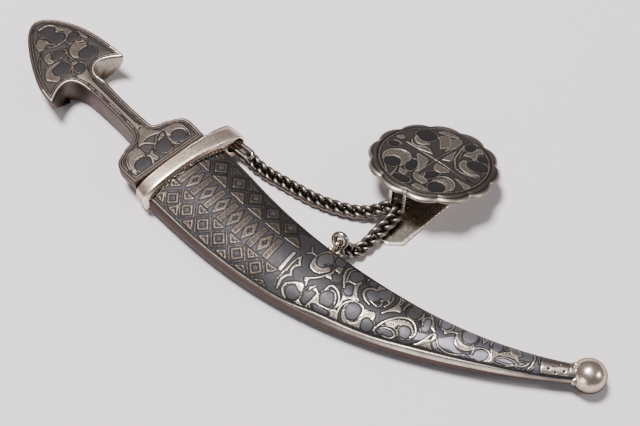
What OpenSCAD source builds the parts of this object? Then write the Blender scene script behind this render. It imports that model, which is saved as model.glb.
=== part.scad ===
// A miniature curved dagger in its scabbard, with two curb chains that carry a
// rosette on a spring clip. It lies on the plane z = 0, pommel towards -X.

/* [Hilt] */
// Length of the hilt, from the pommel's point to its end plane
hilt_l = 32.4; // [31.4:0.2:34]
// Thickness of the hilt
hilt_t = 4.4; // [4:0.1:4.8]
// Gap between the hilt's end plane and the mouth band
seat_gap = 0.25; // [0.15:0.05:0.4]

/* [Blade] */
// Length of the blade along its curve
blade_l = 43; // [36:1:43]
// Width of the blade at its base
blade_w = 8; // [6:0.5:8]
// Thickness of the blade along its middle
blade_t = 1.2; // [0.8:0.1:1.4]
// Radius of the curve that the dagger draws along
draw_r = 92.6; // [92.4:0.1:92.8]

/* [Scabbard] */
// Straight run below the mouth, along the middle line
straight_l = 10; // [8:0.5:12]
// Radius of the curved run's middle line
bend_r = 74.5; // [73:0.5:76]
// Thickness of the sheet that the scabbard is made of
wall_t = 0.6; // [0.4:0.05:0.7]
// Distance along the middle line from the mouth to the ball's centre
ball_s = 62.4; // [61.5:0.1:63]
// Radius of the ball at the tip
ball_r = 2.25; // [2:0.05:2.25]

/* [Mouth band] */
// Length of the band along the scabbard
band_l = 1.9; // [1.7:0.1:2.4]
// Height of the band
band_h = 5.2; // [5:0.1:5.4]
// Reach of the band on the plain side of the middle line
band_left = 7.1; // [7:0.05:7.3]
// Reach of the band on the chain side, where it forms a hollow ear
band_right = 9.75; // [9.7:0.05:9.9]

/* [Rings] */
// Wire radius of the link in the band's ear
link_wire_r = 0.27; // [0.2:0.01:0.3]
// Length of that link's straight sides
link_run = 3.4; // [3:0.1:3.7]
// Wire radius of the jump ring on the scabbard's edge
jump_wire_r = 0.25; // [0.2:0.01:0.27]
// Middle radius of that jump ring
jump_r = 0.9; // [0.85:0.05:1]

/* [Chains] */
// Overall width of the curb chains
chain_w = 1.9; // [1.6:0.1:1.9]

/* [Rosette] */
// Radius of the rosette over its lobes
rosette_r = 9.05; // [8.9:0.05:9.2]
// Number of lobes round the rim
lobes = 12; // [8:1:16]
// Thickness of the rosette's sheet
rosette_t = 0.5; // [0.4:0.05:0.6]
// Drop of the rosette's rim below its face
rim_drop = 0.8; // [0.7:0.05:0.9]
// Tilt of the rosette, raised by its open clip
rosette_tilt = 20; // [19:0.5:21]

/* [Clip] */
// Width of the clip where its tongue meets the bend
clip_w = 9; // [7:0.5:9.5]
// Thickness of the clip's sheet
clip_t = 0.45; // [0.35:0.05:0.5]

/* [Hidden] */
$fn = 32;

silver = "#a8a09a";
dark_silver = "#6c6660";
steel = "#8f9296";

// Middle line: the mouth, its heading, a straight run, then an arc
mouth = [-15.6, -9.62];
mouth_heading = -11.5;
// Centre of the circle that the dagger draws along
draw_centre = [7, 80];
hilt_z = 0.25;
blade_z = 2.3;
blade_gap = 0.1;
blade_seat = 0.35;
tang = [4.4, 3, 1];
tang_root = 1;

function unit(a) = [cos(a), sin(a)];
function side(a) = [-sin(a), cos(a)];
function turned(s) = max(s - straight_l, 0) / bend_r * 180 / PI;
function heading(s) = mouth_heading + turned(s);
function middle(s) = s < straight_l
    ? mouth + s * unit(mouth_heading)
    : mouth + straight_l * unit(mouth_heading)
      + bend_r * (side(mouth_heading) - side(heading(s)));
// A point at distance s along the middle line, v across it and height z
function at(s, v, z) = let (p = middle(s) + v * side(heading(s))) [p[0], p[1], z];

// A smooth curve through column k of a table whose column 0 rises
function row_of(table, s, i = 0) =
    (i >= len(table) - 2 || s < table[i + 1][0]) ? i : row_of(table, s, i + 1);
function slope(table, i, k) = let (a = max(i - 1, 0), b = min(i + 1, len(table) - 1))
    (table[b][k] - table[a][k]) / (table[b][0] - table[a][0]);
function smooth(table, s, k) =
    let (i = row_of(table, s), h = table[i + 1][0] - table[i][0], u = (s - table[i][0]) / h)
    table[i][k] * (2 * u * u * u - 3 * u * u + 1) + table[i + 1][k] * (3 * u * u - 2 * u * u * u)
    + h * slope(table, i, k) * (u * u * u - 2 * u * u + u)
    + h * slope(table, i + 1, k) * (u * u * u - u * u);

// A closed skin over rings that all have the same number of points
function ring_faces(rings, n) = [for (i = [0 : rings - 2], j = [0 : n - 1])
    each [[i * n + j, (i + 1) * n + j, (i + 1) * n + (j + 1) % n],
          [i * n + j, (i + 1) * n + (j + 1) % n, i * n + (j + 1) % n]]];
module skin(rings) {
    n = len(rings[0]);
    start = [for (j = [0 : n - 1]) j];
    end = [for (j = [n - 1 : -1 : 0]) (len(rings) - 1) * n + j];
    polyhedron([for (r = rings) each r], concat(ring_faces(len(rings), n), [start, end]), convexity = 8);
}

// Scabbard sections: s, half width, back z, edge z, crown z, dome power, squareness of the back
sheath_rows = [
    [0, 6.65, 0.35, 2.85, 4.2, 2, 6],
    [8, 6.4, 0.35, 2.85, 4.25, 2, 6],
    [15, 5.92, 0.35, 2.85, 4.3, 2, 6],
    [22, 5.34, 0.4, 2.8, 4.3, 2, 6],
    [29, 4.62, 0.45, 2.8, 4.25, 1.9, 5.5],
    [36, 3.82, 0.5, 2.75, 4.15, 1.8, 5],
    [43, 2.92, 0.65, 2.65, 3.95, 1.6, 4],
    [50, 2.12, 0.85, 2.5, 3.7, 1.3, 3],
    [56, 1.55, 1, 2.35, 3.5, 1.1, 2.3],
    [61, 1.2, 1.05, 2.25, 3.45, 1, 2]];
section_n = 32;
function curl(c, power) = sign(c) * pow(abs(c), power);
function sheath_ring(s, skin_t = 0) =
    let (half = smooth(sheath_rows, s, 1) - skin_t, back = smooth(sheath_rows, s, 2) + skin_t,
         edge = smooth(sheath_rows, s, 3), crown = smooth(sheath_rows, s, 4) - skin_t,
         dome = smooth(sheath_rows, s, 5), square = smooth(sheath_rows, s, 6))
    [for (i = [0 : section_n - 1]) let (a = 360 * i / section_n, up = i <= section_n / 2)
        up ? at(s, half * cos(a), edge + (crown - edge) * pow(sin(a), dome))
           : at(s, half * curl(cos(a), 2 / square), edge - (edge - back) * pow(-sin(a), 2 / square))];

// Mouth band rings: share of its length, inset of its outline
band_rows = [[0, 0.45], [0.12, 0.15], [0.45, 0], [0.8, 0.08], [1, 0.3]];
band_roundness = 2.6;
band_floor = 5;
// How much longer the band is at the ear's end
ear_run = 0.7;
function band_ring(share, inset) =
    let (half = (band_left + band_right) / 2 - inset, shift = (band_right - band_left) / 2,
         rise = band_h / 2 - inset)
    [for (i = [0 : section_n - 1])
        let (a = 360 * i / section_n, power = 2 / (i <= section_n / 2 ? band_roundness : band_floor),
             v = shift + half * curl(cos(a), power), run = band_l + ear_run * max(v, 0) / band_right)
        at(seat_gap + share * run, v, band_h / 2 + rise * curl(sin(a), power))];

cavity_l = 48;
cavity_rings = 12;
outside_rings = 24;
function steps(from, to, n) = [for (i = [0 : n]) from + (to - from) * i / n];
module sheath_shell() {
    cavity = [for (s = steps(cavity_l, seat_gap, cavity_rings)) sheath_ring(s, wall_t)];
    band = [for (r = band_rows) band_ring(r[0], r[1])];
    outside = [for (s = steps(seat_gap + band_l, ball_s - ball_r / 2, outside_rings)) sheath_ring(s)];
    skin(concat(cavity, band, outside));
}

// The band's ear: a round hollow open towards the chain, with a post across it
ear_v = 8.05;
ear_z = 2.5;
ear_floor = 0.5;
ear_mouth_r = 1.3;
post_s = 1.75;
post_r = 0.24;
post_z = [0.75, 4.2];
module on_scabbard(s, v, z) translate(at(s, v, z)) rotate([0, 0, heading(s)]) children();
module ear_hollow() {
    on_scabbard(seat_gap + ear_floor, ear_v, ear_z) rotate([0, 90, 0])
        cylinder(h = band_l + ear_run, r = ear_mouth_r);
}
module ear_post() {
    on_scabbard(post_s, ear_v, post_z[0]) cylinder(h = post_z[1] - post_z[0], r = post_r);
}

// The eye for the jump ring, a wire loop soldered upright on the edge
eye_s = 25.9;
eye_z = 3.1;
eye_r = 0.68;
eye_wire_r = 0.27;
eye_out = 0.75;
solder_z = 2.6;
solder_r = 0.5;
eye_v = smooth(sheath_rows, eye_s, 1);
module wire_ring(r, wire_r, angle = 360) {
    rotate_extrude(angle = angle) translate([r, 0]) circle(r = wire_r, $fn = 24);
}
module scabbard() {
    color(silver) {
        difference() {
            sheath_shell();
            ear_hollow();
        }
        ear_post();
        on_scabbard(eye_s, eye_v + eye_out, eye_z) rotate([0, 90, 0]) wire_ring(eye_r, eye_wire_r);
        on_scabbard(eye_s, eye_v, solder_z) sphere(r = solder_r);
        translate(at(ball_s, 0, ball_r)) sphere(r = ball_r);
    }
}

// The hilt's half outline as curves, from the pommel's point to the end plane: t, half width
function curve(p, steps) = [for (i = [1 : steps]) let (u = i / steps, w = 1 - u)
    w * w * w * p[0] + 3 * w * w * u * p[1] + 3 * w * u * u * p[2] + u * u * u * p[3]];
pommel_l = 13;
pommel_side = [[0, 0], [0, 2.7], [7.5, 6.2], [13.3, 6.3]];
pommel_barb = [[13.3, 6.3], [13.75, 6.3], [14, 6.22], [13.85, 5.95]];
pommel_undercut = [[13.85, 5.95], [12.4, 4.2], [10.8, 1.3], [15.6, 1.2]];
grip_side = [[15.6, 1.2], [18.4, 0.95], [22.4, 0.95], [25.4, 1.15]];
shoulder_inner = [[25.4, 1.15], [27.6, 1.4], [27, 3.2], [27.7, 3.9]];
shoulder_outer = [[27.7, 3.9], [28.2, 5.3], [28.7, 5.75], [29.9, 5.8]];
hilt_end_half = 5.85;
half_outline = concat(curve(pommel_side, 9), curve(pommel_barb, 3), curve(pommel_undercut, 10),
                      curve(grip_side, 4), curve(shoulder_inner, 6), curve(shoulder_outer, 5),
                      [[hilt_l, hilt_end_half]]);
function both_sides(half) = concat([[0, 0]], [for (p = half) [p[0], -p[1]]],
                                   [for (i = [len(half) - 1 : -1 : 0]) half[i]]);
// The envelope that rounds the hilt's back: share of the height, share of the width, how far the
// pommel's point is drawn in. It clears the straight sides above.
envelope_rows = [[-0.02, 0.66, 2.4], [0.12, 0.8, 1.3], [0.35, 0.94, 0.5], [0.7, 1.02, -0.1],
                 [1.05, 1.03, -0.2]];
envelope_half = concat(curve(pommel_side, 9), [[hilt_l + 0.2, hilt_end_half + 0.1]]);
function envelope_ring(row) = [for (p = both_sides(envelope_half))
    [p[0] + row[2] * max(1 - p[0] / pommel_l, 0), row[1] * p[1], row[0] * hilt_t]];
// The hilt's middle line lies beside the scabbard's, away from the chains
hilt_v = -0.65;
module hilt() {
    color(silver) difference() {
        translate(at(-hilt_l, hilt_v, hilt_z)) rotate([0, 0, mouth_heading]) intersection() {
            linear_extrude(hilt_t) polygon(both_sides(half_outline));
            skin([for (row = envelope_rows) envelope_ring(row)]);
        }
        translate(at(0, 0, blade_z)) rotate([0, 0, mouth_heading])
            cube([2 * (tang[0] + blade_gap), tang[1] + 2 * blade_gap, tang[2] + 2 * blade_gap], center = true);
    }
}

// Blade sections: share of the length, share of the width, share of the thickness
blade_rows = [[0, 1, 1], [0.3, 0.95, 1], [0.55, 0.78, 1], [0.78, 0.5, 0.95], [0.92, 0.22, 0.8], [1, 0.03, 0.4]];
blade_rings = 16;
blade_edge_t = 0.15;
blade_base = atan2(mouth[1] - draw_centre[1], mouth[0] - draw_centre[0]) + blade_seat / draw_r * 180 / PI;
function blade_point(share, v, z) = let (a = blade_base + share * (blade_l - blade_seat) / draw_r * 180 / PI,
    p = draw_centre + (draw_r - v) * unit(a)) [p[0], p[1], z];
function blade_ring(share) =
    let (half = blade_w / 2 * smooth(blade_rows, share, 1), rise = blade_t / 2 * smooth(blade_rows, share, 2),
         thin = blade_edge_t / 2)
    [for (c = [[half, thin], [0, rise], [-half, thin], [-half, -thin], [0, -rise], [half, -thin]])
        blade_point(share, c[0], blade_z + c[1])];
module blade() {
    color(steel) {
        skin([for (i = [0 : blade_rings]) blade_ring(i / blade_rings)]);
        translate(at(0, 0, blade_z)) rotate([0, 0, mouth_heading])
            translate([-tang[0] + blade_gap, -tang[1] / 2, -tang[2] / 2])
                cube([tang[0] + tang_root, tang[1], tang[2]]);
    }
}

// The long link in the ear: it runs out from the post and dips to the surface
link_r = 0.62;
link_heading = 0;
link_dip = 14;
link_z = 2.35;
module upper_link() {
    color(dark_silver) translate(at(post_s, ear_v, link_z)) rotate([0, link_dip, link_heading]) {
        rotate([0, 0, 90]) wire_ring(link_r, link_wire_r, 180);
        translate([link_run, 0, 0]) rotate([0, 0, -90]) wire_ring(link_r, link_wire_r, 180);
        for (y = [-link_r, link_r]) translate([0, y, 0]) rotate([0, 90, 0])
            cylinder(h = link_run, r = link_wire_r, $fn = 24);
    }
}

// The jump ring: an open ring that hangs in the eye and stands up from it
jump_lift = 58;
jump_seat = 0.85;
jump_gap = 50;
jump_open = 20;
module jump_ring() {
    color(dark_silver) on_scabbard(eye_s, eye_v + jump_seat, eye_z) rotate([jump_lift, 0, 0])
        translate([0, jump_r, 0]) rotate([0, 0, jump_open + jump_gap / 2])
            wire_ring(jump_r, jump_wire_r, 360 - jump_gap);
}

// Chain routes, each from the ring end or the bail as it lies
upper_route = [[-7.4, -2.5, 1.15], [-5, -2.6, 1], [-2.5, -2.5, 1], [0, -2.4, 1], [2.5, -2.2, 1],
               [5, -1.7, 1], [7, -1.1, 1], [8.8, -0.3, 1.1], [10.2, 0.7, 1.5], [11, 1.6, 1.8]];
lower_route = [[13, 1.6, 1.7], [12.8, 0, 1.6], [12.5, -1.8, 1.5], [12.3, -3.3, 1.1],
               [12, -4.8, 1], [11.6, -5.8, 1.3], [11, -6.3, 1.8], [10.7, -6.5, 2.2]];
chain_sides = 8;
function direction(path, i) = let (d = path[min(i + 1, len(path) - 1)] - path[max(i - 1, 0)]) d / norm(d);
function tube_ring(path, i, r) =
    let (t = direction(path, i), across = cross([0, 0, 1], t), w = across / norm(across), up = cross(t, w))
    [for (k = [0 : chain_sides - 1]) let (a = 360 * (k + 0.5) / chain_sides)
        path[i] + r * (cos(a) * w + sin(a) * up)];
module chain(route) {
    color(dark_silver) skin([for (i = [0 : len(route) - 1]) tube_ring(route, i, chain_w / 2)]);
}
module upper_chain() chain(upper_route);
module lower_chain() chain(lower_route);

// The rosette: a flat disc with a turned-down lobed rim, tilted away from the chains
rosette_at = [12.94, 10.72, 4.2];
tilt_heading = 114;
face_r = 7.7;
lobe_depth = 0.57;
lobe_phase = 19;
lobe_steps = 8;
function lobe_r(a) = rosette_r - lobe_depth * (1 - pow(abs(cos((a - lobe_phase) * lobes / 2)), 0.7));
// Rings out over the face, round the rim and back below: radius, share of the lobes, z
rosette_rows = [
    [0.05, 0, 0], [face_r, 0, 0], [face_r + 0.3, 0.4, -0.18], [rosette_r - 0.15, 0.95, -0.32],
    [rosette_r, 1, -0.47], [rosette_r, 1, -rim_drop], [rosette_r - rosette_t, 1, -rim_drop],
    [face_r - 0.1, 0.3, -rosette_t], [0.05, 0, -rosette_t]];
function rosette_ring(row) = [for (k = [0 : lobes * lobe_steps - 1])
    let (a = -360 * k / (lobes * lobe_steps), r = row[0] - row[1] * (rosette_r - lobe_r(a)))
    [r * cos(a), r * sin(a), row[2]]];
tilt_axis = [cos(tilt_heading + 90), sin(tilt_heading + 90), 0];
face_normal = [sin(rosette_tilt) * cos(tilt_heading), sin(rosette_tilt) * sin(tilt_heading), cos(rosette_tilt)];
// Height of the plane that lies a depth below the rosette's face
function below_face(p, depth) = rosette_at[2] - (depth + face_normal[0] * (p[0] - rosette_at[0])
    + face_normal[1] * (p[1] - rosette_at[1])) / face_normal[2];

// The bail: a narrow strip bent into a U and soldered under the raised side
bail_at = [12.4, 2.95];
bail_heading = 23.5;
bail_half_w = 1.2;
bail_bottom = 0.5;
bail_t = 0.42;
bail_w = 0.9;
bail_seat = 0.5;
module bail() {
    leg_z = bail_bottom + bail_half_w;
    leg_l = below_face(bail_at, bail_seat) - leg_z;
    translate([bail_at[0], bail_at[1], leg_z]) rotate([90, 0, bail_heading])
        translate([0, 0, -bail_w / 2]) linear_extrude(bail_w) {
            difference() {
                circle(r = bail_half_w);
                circle(r = bail_half_w - bail_t);
                translate([-2 * bail_half_w, 0]) square([4 * bail_half_w, 2 * bail_half_w]);
            }
            for (x = [-bail_half_w, bail_half_w - bail_t]) translate([x, 0]) square([bail_t, leg_l]);
        }
}
module rosette() {
    color(silver) {
        translate(rosette_at) rotate(a = rosette_tilt, v = tilt_axis)
            skin([for (row = rosette_rows) rosette_ring(row)]);
        bail();
    }
}

// The spring clip: a tapered tongue on the surface, a round bend and a leg up the rosette's back
clip_heading = 93;
clip_e = 13.95;
// Tongue rings: distance along the clip, share of its full width
tongue_rows = [[-3, 0.16], [-2.65, 0.31], [-1.9, 0.4], [-0.6, 0.46], [9, 1]];
clip_bend_u = 14.5;
leg_w = 6;
leg_end = 7.7;
clip_seat = 0.15;
clip_rings = 12;
tongue_z = 0.03 + clip_t / 2;
along = unit(clip_heading);
over = -side(clip_heading);
function clip_xy(u) = clip_e * over + u * along;
leg_slope = atan((face_normal[0] * along[0] + face_normal[1] * along[1]) / face_normal[2]);
leg_roll = -atan((face_normal[0] * over[0] + face_normal[1] * over[1]) / face_normal[2]);
leg_depth = rosette_t + clip_seat + clip_t / 2;
function clip_ring(u, z, pitch, roll, w) =
    let (c = [clip_xy(u)[0], clip_xy(u)[1], z],
         t = [cos(pitch) * along[0], cos(pitch) * along[1], sin(pitch)],
         e = [cos(roll) * over[0], cos(roll) * over[1], sin(roll)],
         up = cross(e, t), n = up / norm(up))
    [c + w / 2 * e + clip_t / 2 * n, c + w / 2 * e - clip_t / 2 * n,
     c - w / 2 * e - clip_t / 2 * n, c - w / 2 * e + clip_t / 2 * n];
bend_turn = 180 - leg_slope;
// The bend's radius brings its end onto the leg's plane below the rosette
clip_bend_r = (below_face(clip_xy(clip_bend_u), leg_depth) - tongue_z)
    / (1 - cos(bend_turn) + tan(leg_slope) * sin(bend_turn));
module spring_clip() {
    tongue = [for (row = tongue_rows) clip_ring(row[0], tongue_z, 0, 0, row[1] * clip_w)];
    bend = [for (i = [0 : clip_rings]) let (share = i / clip_rings, a = bend_turn * share)
        clip_ring(clip_bend_u + clip_bend_r * sin(a), tongue_z + clip_bend_r * (1 - cos(a)),
                  a, leg_roll * share, clip_w + (leg_w - clip_w) * share)];
    leg = [clip_ring(leg_end, below_face(clip_xy(leg_end), leg_depth), bend_turn, leg_roll, leg_w)];
    color(silver) skin(concat(tongue, bend, leg));
}

scabbard();
hilt();
blade();
upper_link();
jump_ring();
upper_chain();
lower_chain();
rosette();
spring_clip();
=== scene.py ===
"""Niello silver brooch: a miniature curved dagger in its scabbard, curb chains, a lobed rosette and its spring clip.

Lengths in this file are millimetres in the frame's axes, and become metres where a mesh is made. The settings and
the lamps are in metres.
"""
import math
from functools import partial

import bpy
import numpy as np
from mathutils import Matrix, Vector
from mathutils.geometry import delaunay_2d_cdt


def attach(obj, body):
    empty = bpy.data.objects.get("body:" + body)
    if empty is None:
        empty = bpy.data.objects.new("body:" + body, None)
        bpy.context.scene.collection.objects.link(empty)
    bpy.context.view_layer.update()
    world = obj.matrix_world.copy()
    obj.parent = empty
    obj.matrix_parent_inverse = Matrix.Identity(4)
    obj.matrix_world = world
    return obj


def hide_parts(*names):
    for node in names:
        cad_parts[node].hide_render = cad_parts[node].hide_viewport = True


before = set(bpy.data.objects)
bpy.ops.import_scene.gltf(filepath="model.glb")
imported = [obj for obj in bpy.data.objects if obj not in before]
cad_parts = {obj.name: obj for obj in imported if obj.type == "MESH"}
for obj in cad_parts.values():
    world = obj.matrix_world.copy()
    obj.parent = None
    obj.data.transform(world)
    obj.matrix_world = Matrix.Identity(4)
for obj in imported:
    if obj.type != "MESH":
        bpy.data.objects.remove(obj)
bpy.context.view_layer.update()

bl_info = {
    "name": "Niello silver brooch",
    "version": (1, 0, 0),
    "blender": (4, 5, 0),
    "location": "View3D > Sidebar > Brooch",
    "description": "Builds the brooch's visible pieces, their finishes and the stage",
    "category": "Object",
}

MM = 0.001

# Scabbard: where its mouth is, its heading in degrees, the straight run, the bend's radius, the hilt's gap, its wall
MOUTH = np.array([-15.6, -9.62])
MOUTH_HEADING = -11.5
STRAIGHT = 10.0
BEND = 74.5
SEAT_GAP = 0.25
WALL = 0.6
# Distance from the mouth of the eye, of the ear's post and how far across it is, of the ball and its height
EYE_AT = 25.9
POST_AT = (1.75, 8.05)
BALL_AT = (62.4, 2.25)
BALL_RADIUS, EAR_HOLE, POST_RADIUS = 2.2, 1.3, 0.24
# The eye's solder: distance from the eye and from the edge, height, radius
EYE_SOLDER = ((0, 0, 2.62, 0.5), (-0.55, 0.02, 2.7, 0.36), (0.55, 0.02, 2.7, 0.36), (0, 0.35, 2.35, 0.34))
# Pits near the tip: distance from the mouth, across
PITS = ((57.3, -0.3), (58.1, -0.7), (59.2, -0.45), (58.7, 0.3))
# Distance from the mouth, half width, back, edge, crown, power of the dome, squareness of the back
SHEATH = [
    [0, 6.65, 0.35, 2.85, 4.2, 2, 6], [8, 6.4, 0.35, 2.85, 4.25, 2, 6], [15, 5.92, 0.35, 2.85, 4.3, 2, 6],
    [22, 5.34, 0.4, 2.8, 4.3, 2, 6], [29, 4.62, 0.45, 2.8, 4.25, 1.9, 5.5], [36, 3.82, 0.5, 2.75, 4.15, 1.8, 5],
    [43, 2.92, 0.65, 2.65, 3.95, 1.6, 4], [50, 2.12, 0.85, 2.5, 3.7, 1.3, 3], [56, 1.55, 1, 2.35, 3.5, 1.1, 2.3],
    [61, 1.2, 1.05, 2.25, 3.45, 1, 2]]
# Distance from the mouth, how far the ridge lies in from the edge, width of its polished band
RIDGE = [[0, 0.55, 0.14], [10, 0.45, 0.14], [18, 0.35, 0.14], [25, 0.2, 0.18], [29, 0.1, 0.55], [36, 0.06, 0.5],
         [42, 0.05, 0.6], [50, 0.05, 0.45], [54, 0.05, 0.25], [58, 0.03, 0.15], [62, 0.03, 0.12]]
# Distance from the mouth, how far across the panel's outer triangles reach
PANEL_REACH = [[0, 5.35], [10, 5.25], [18, 4.85], [24, 4.6]]
# Mouth band: its middle across, half width, half height, length, and how much longer it is at its ear's end
BAND_MIDDLE, BAND_HALF, BAND_HEIGHT = 1.325, 8.425, 2.6
BAND_RUN, EAR_RUN, EAR_END = 1.9, 0.7, 9.75
# Share of the band's length, how far its skin lies in from its widest outline
BAND_PROFILE = [
    (0, 0.8), (0, 0.56), (0, 0.38), (0.02, 0.25), (0.06, 0.2), (0.095, 0.19), (0.115, 0.26), (0.135, 0.26),
    (0.155, 0.165), (0.35, 0.12), (0.6, 0.07), (0.85, 0.02), (1, 0), (1.06, 0.01), (1.1, 0.05), (1.12, 0.12),
    (1.14, 0.26), (1.18, 0.45), (1.24, 0.62)]

# Hilt: length, half width at the shoulders' end, thickness, and where the pommel's sides end
HILT_LENGTH, HILT_HALF, HILT_THICK, POMMEL_END = 32.4, 5.9, 4.4, 13.3
HILT_TURN = math.radians(MOUTH_HEADING)
# Half of the outline from the pommel's point: the curve's four points, and its number of steps
HILT_PARTS = [
    ([[0, 0], [0, 2.7], [7.5, 6.2], [13.3, 6.3]], 110), ([[13.3, 6.3], [13.75, 6.3], [14, 6.22], [13.85, 5.95]], 9),
    ([[13.85, 5.95], [12.4, 4.2], [10.8, 1.3], [15.6, 1.2]], 56),
    ([[15.6, 1.2], [18.4, 0.95], [22.4, 0.95], [25.4, 1.15]], 60),
    ([[25.4, 1.15], [27.2, 1.4], [26.6, 3.2], [27.35, 3.95]], 30),
    ([[27.35, 3.95], [27.85, 5.45], [28.3, 5.95], [29.6, 6]], 24),
    ([[29.6, 6], [30.6, 6], [31.6, 5.92], [32.4, 5.9]], 16)]
# Share of the hilt's height, share of its width there, how far the pommel's point is drawn in
HILT_ENVELOPE = [[-0.02, 0.66, 2.4], [0.12, 0.8, 1.3], [0.35, 0.94, 0.5], [0.7, 1.02, -0.1], [1.05, 1.03, -0.2]]

# Blade: centre and radius of its curve, its length along the curve, height, half width
BLADE_CENTRE, BLADE_RADIUS, BLADE_LENGTH, BLADE_HEIGHT, BLADE_HALF = (7, 80), 92.6, 42.65, 2.3, 4
# Share of the blade's length, share of its width, thickness
BLADE_TAPER = [[0, 1, 1], [0.3, 0.95, 1], [0.55, 0.78, 1], [0.78, 0.5, 0.95], [0.92, 0.22, 0.8], [1, 0.03, 0.4]]
# Share of the half width, height above the blade's middle
BLADE_SIDE = [(1, 0.07), (0.62, 0.34), (0.34, 0.5), (0.2, 0.4), (0.07, 0.4), (0, 0.6), (-0.07, 0.4), (-0.2, 0.4),
              (-0.34, 0.5), (-0.62, 0.34), (-1, 0.07)]

# Radius of the ring and of its wire, and the long link's straight run
EYE_RING, LONG_LINK, LONG_RUN, JUMP_RING = (0.66, 0.3), (0.62, 0.38), 3.4, (0.82, 0.42)

# Curb links: half length, half width, twist and wire radius; the chains' routes, and their roll in degrees at the
# start, middle and end
LINK, LINK_WIRE = (1.04, 0.66, 0.33), 0.335
UPPER_ROUTE = [(-8.15, -2.3, 1.25), (-7, -2.5, 1.05), (-5, -2.6, 0.92), (-2.5, -2.5, 0.9), (0, -2.4, 0.9),
               (2.5, -2.2, 0.9), (5, -1.7, 0.92), (7, -1.1, 0.97), (8.8, -0.3, 1.1), (10.2, 0.7, 1.4),
               (11, 1.6, 1.7), (11.9, 2.6, 1.75)]
LOWER_ROUTE = [(12.5, 3.0, 1.75), (12.95, 1.6, 1.75), (12.8, 0, 1.6), (12.5, -1.8, 1.4), (12.3, -3.3, 1.02),
               (12, -4.8, 0.95), (11.6, -5.8, 1.2), (11, -6.4, 1.8), (10.55, -6.75, 2.4)]
UPPER_ROLL, LOWER_ROLL = (14, 20, 12), (-12, -22, -20)

# Rosette: the middle of its face, its tilt, its face's radius, its number of lobes and how deep they are cut
ROSETTE_AT = (12.94, 10.72, 4.2)
TILT_AXIS = math.radians(204)
ROSETTE_TILT = Matrix.Rotation(math.radians(20), 3, Vector((math.cos(TILT_AXIS), math.sin(TILT_AXIS), 0)))
ROSETTE_UP = ROSETTE_TILT @ Vector((0, 0, 1))
FACE_RADIUS, LOBES, LOBE_DEPTH = 7.5, 12, 0.57
# Radius, share of the lobes, height, share of the valleys between lobes
ROSETTE_RIM = [
    (7.58, 0, -0.02, 0), (7.66, 0, -0.1, 0), (7.74, 0, -0.11, 0), (7.82, 0, -0.03, 0), (7.92, 0.05, 0, 0.1),
    (8.05, 0.2, -0.02, 0.2), (8.25, 0.45, -0.07, 0.35), (8.48, 0.72, -0.15, 0.5), (8.66, 0.88, -0.22, 0.6),
    (8.82, 0.96, -0.3, 0.6), (8.95, 1, -0.4, 0.5), (9.03, 1, -0.52, 0.3), (9.05, 1, -0.64, 0.1),
    (9.01, 1, -0.75, 0), (8.9, 1, -0.8, 0), (8.68, 1, -0.8, 0), (8.55, 1, -0.72, 0), (8.4, 0.9, -0.6, 0),
    (8, 0.5, -0.52, 0), (7.6, 0.3, -0.5, 0), (5, 0, -0.5, 0), (2.5, 0, -0.5, 0), (0.4, 0, -0.5, 0)]

# Spring clip: how far over it lies, its sheet, where its bend starts; the tongue's distance along and width
CLIP_OVER, CLIP_SHEET, CLIP_BEND = 13.95, 0.45, 14.5
TONGUE = ((-2.69, 1.2), (-2.4, 1.86), (-2.1, 2.55), (-1.56, 3.78), (-0.6, 4.14), (2, 5.45), (4, 6.5), (6, 7.6),
          (9, 9), (12, 9))

# Camera: its place, what it looks at, the picture's right, and its focal length in widths of the picture
CAMERA_AT, CAMERA_TARGET = Vector((50.25, -66.76, 125.93)), Vector((4, -3.1, 0))
CAMERA_RIGHT, FOCAL_WIDTHS, SENSOR = Vector((0.809, 0.588, 0)), 1100 / 640, 36
# Lamps: name, place, size, share of the main light's power, colour
LAMPS = (
    ("key light", (-0.18, 0.0, 0.62), 0.19, 1, (1, 0.985, 0.97)),
    ("front light", (-0.12, -0.57, 0.12), 0.3, 0.09, (1, 0.96, 0.94)),
    ("right light", (0.5, 0.2, 0.4), 0.12, 0.12, (1, 0.95, 0.9)))

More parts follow.
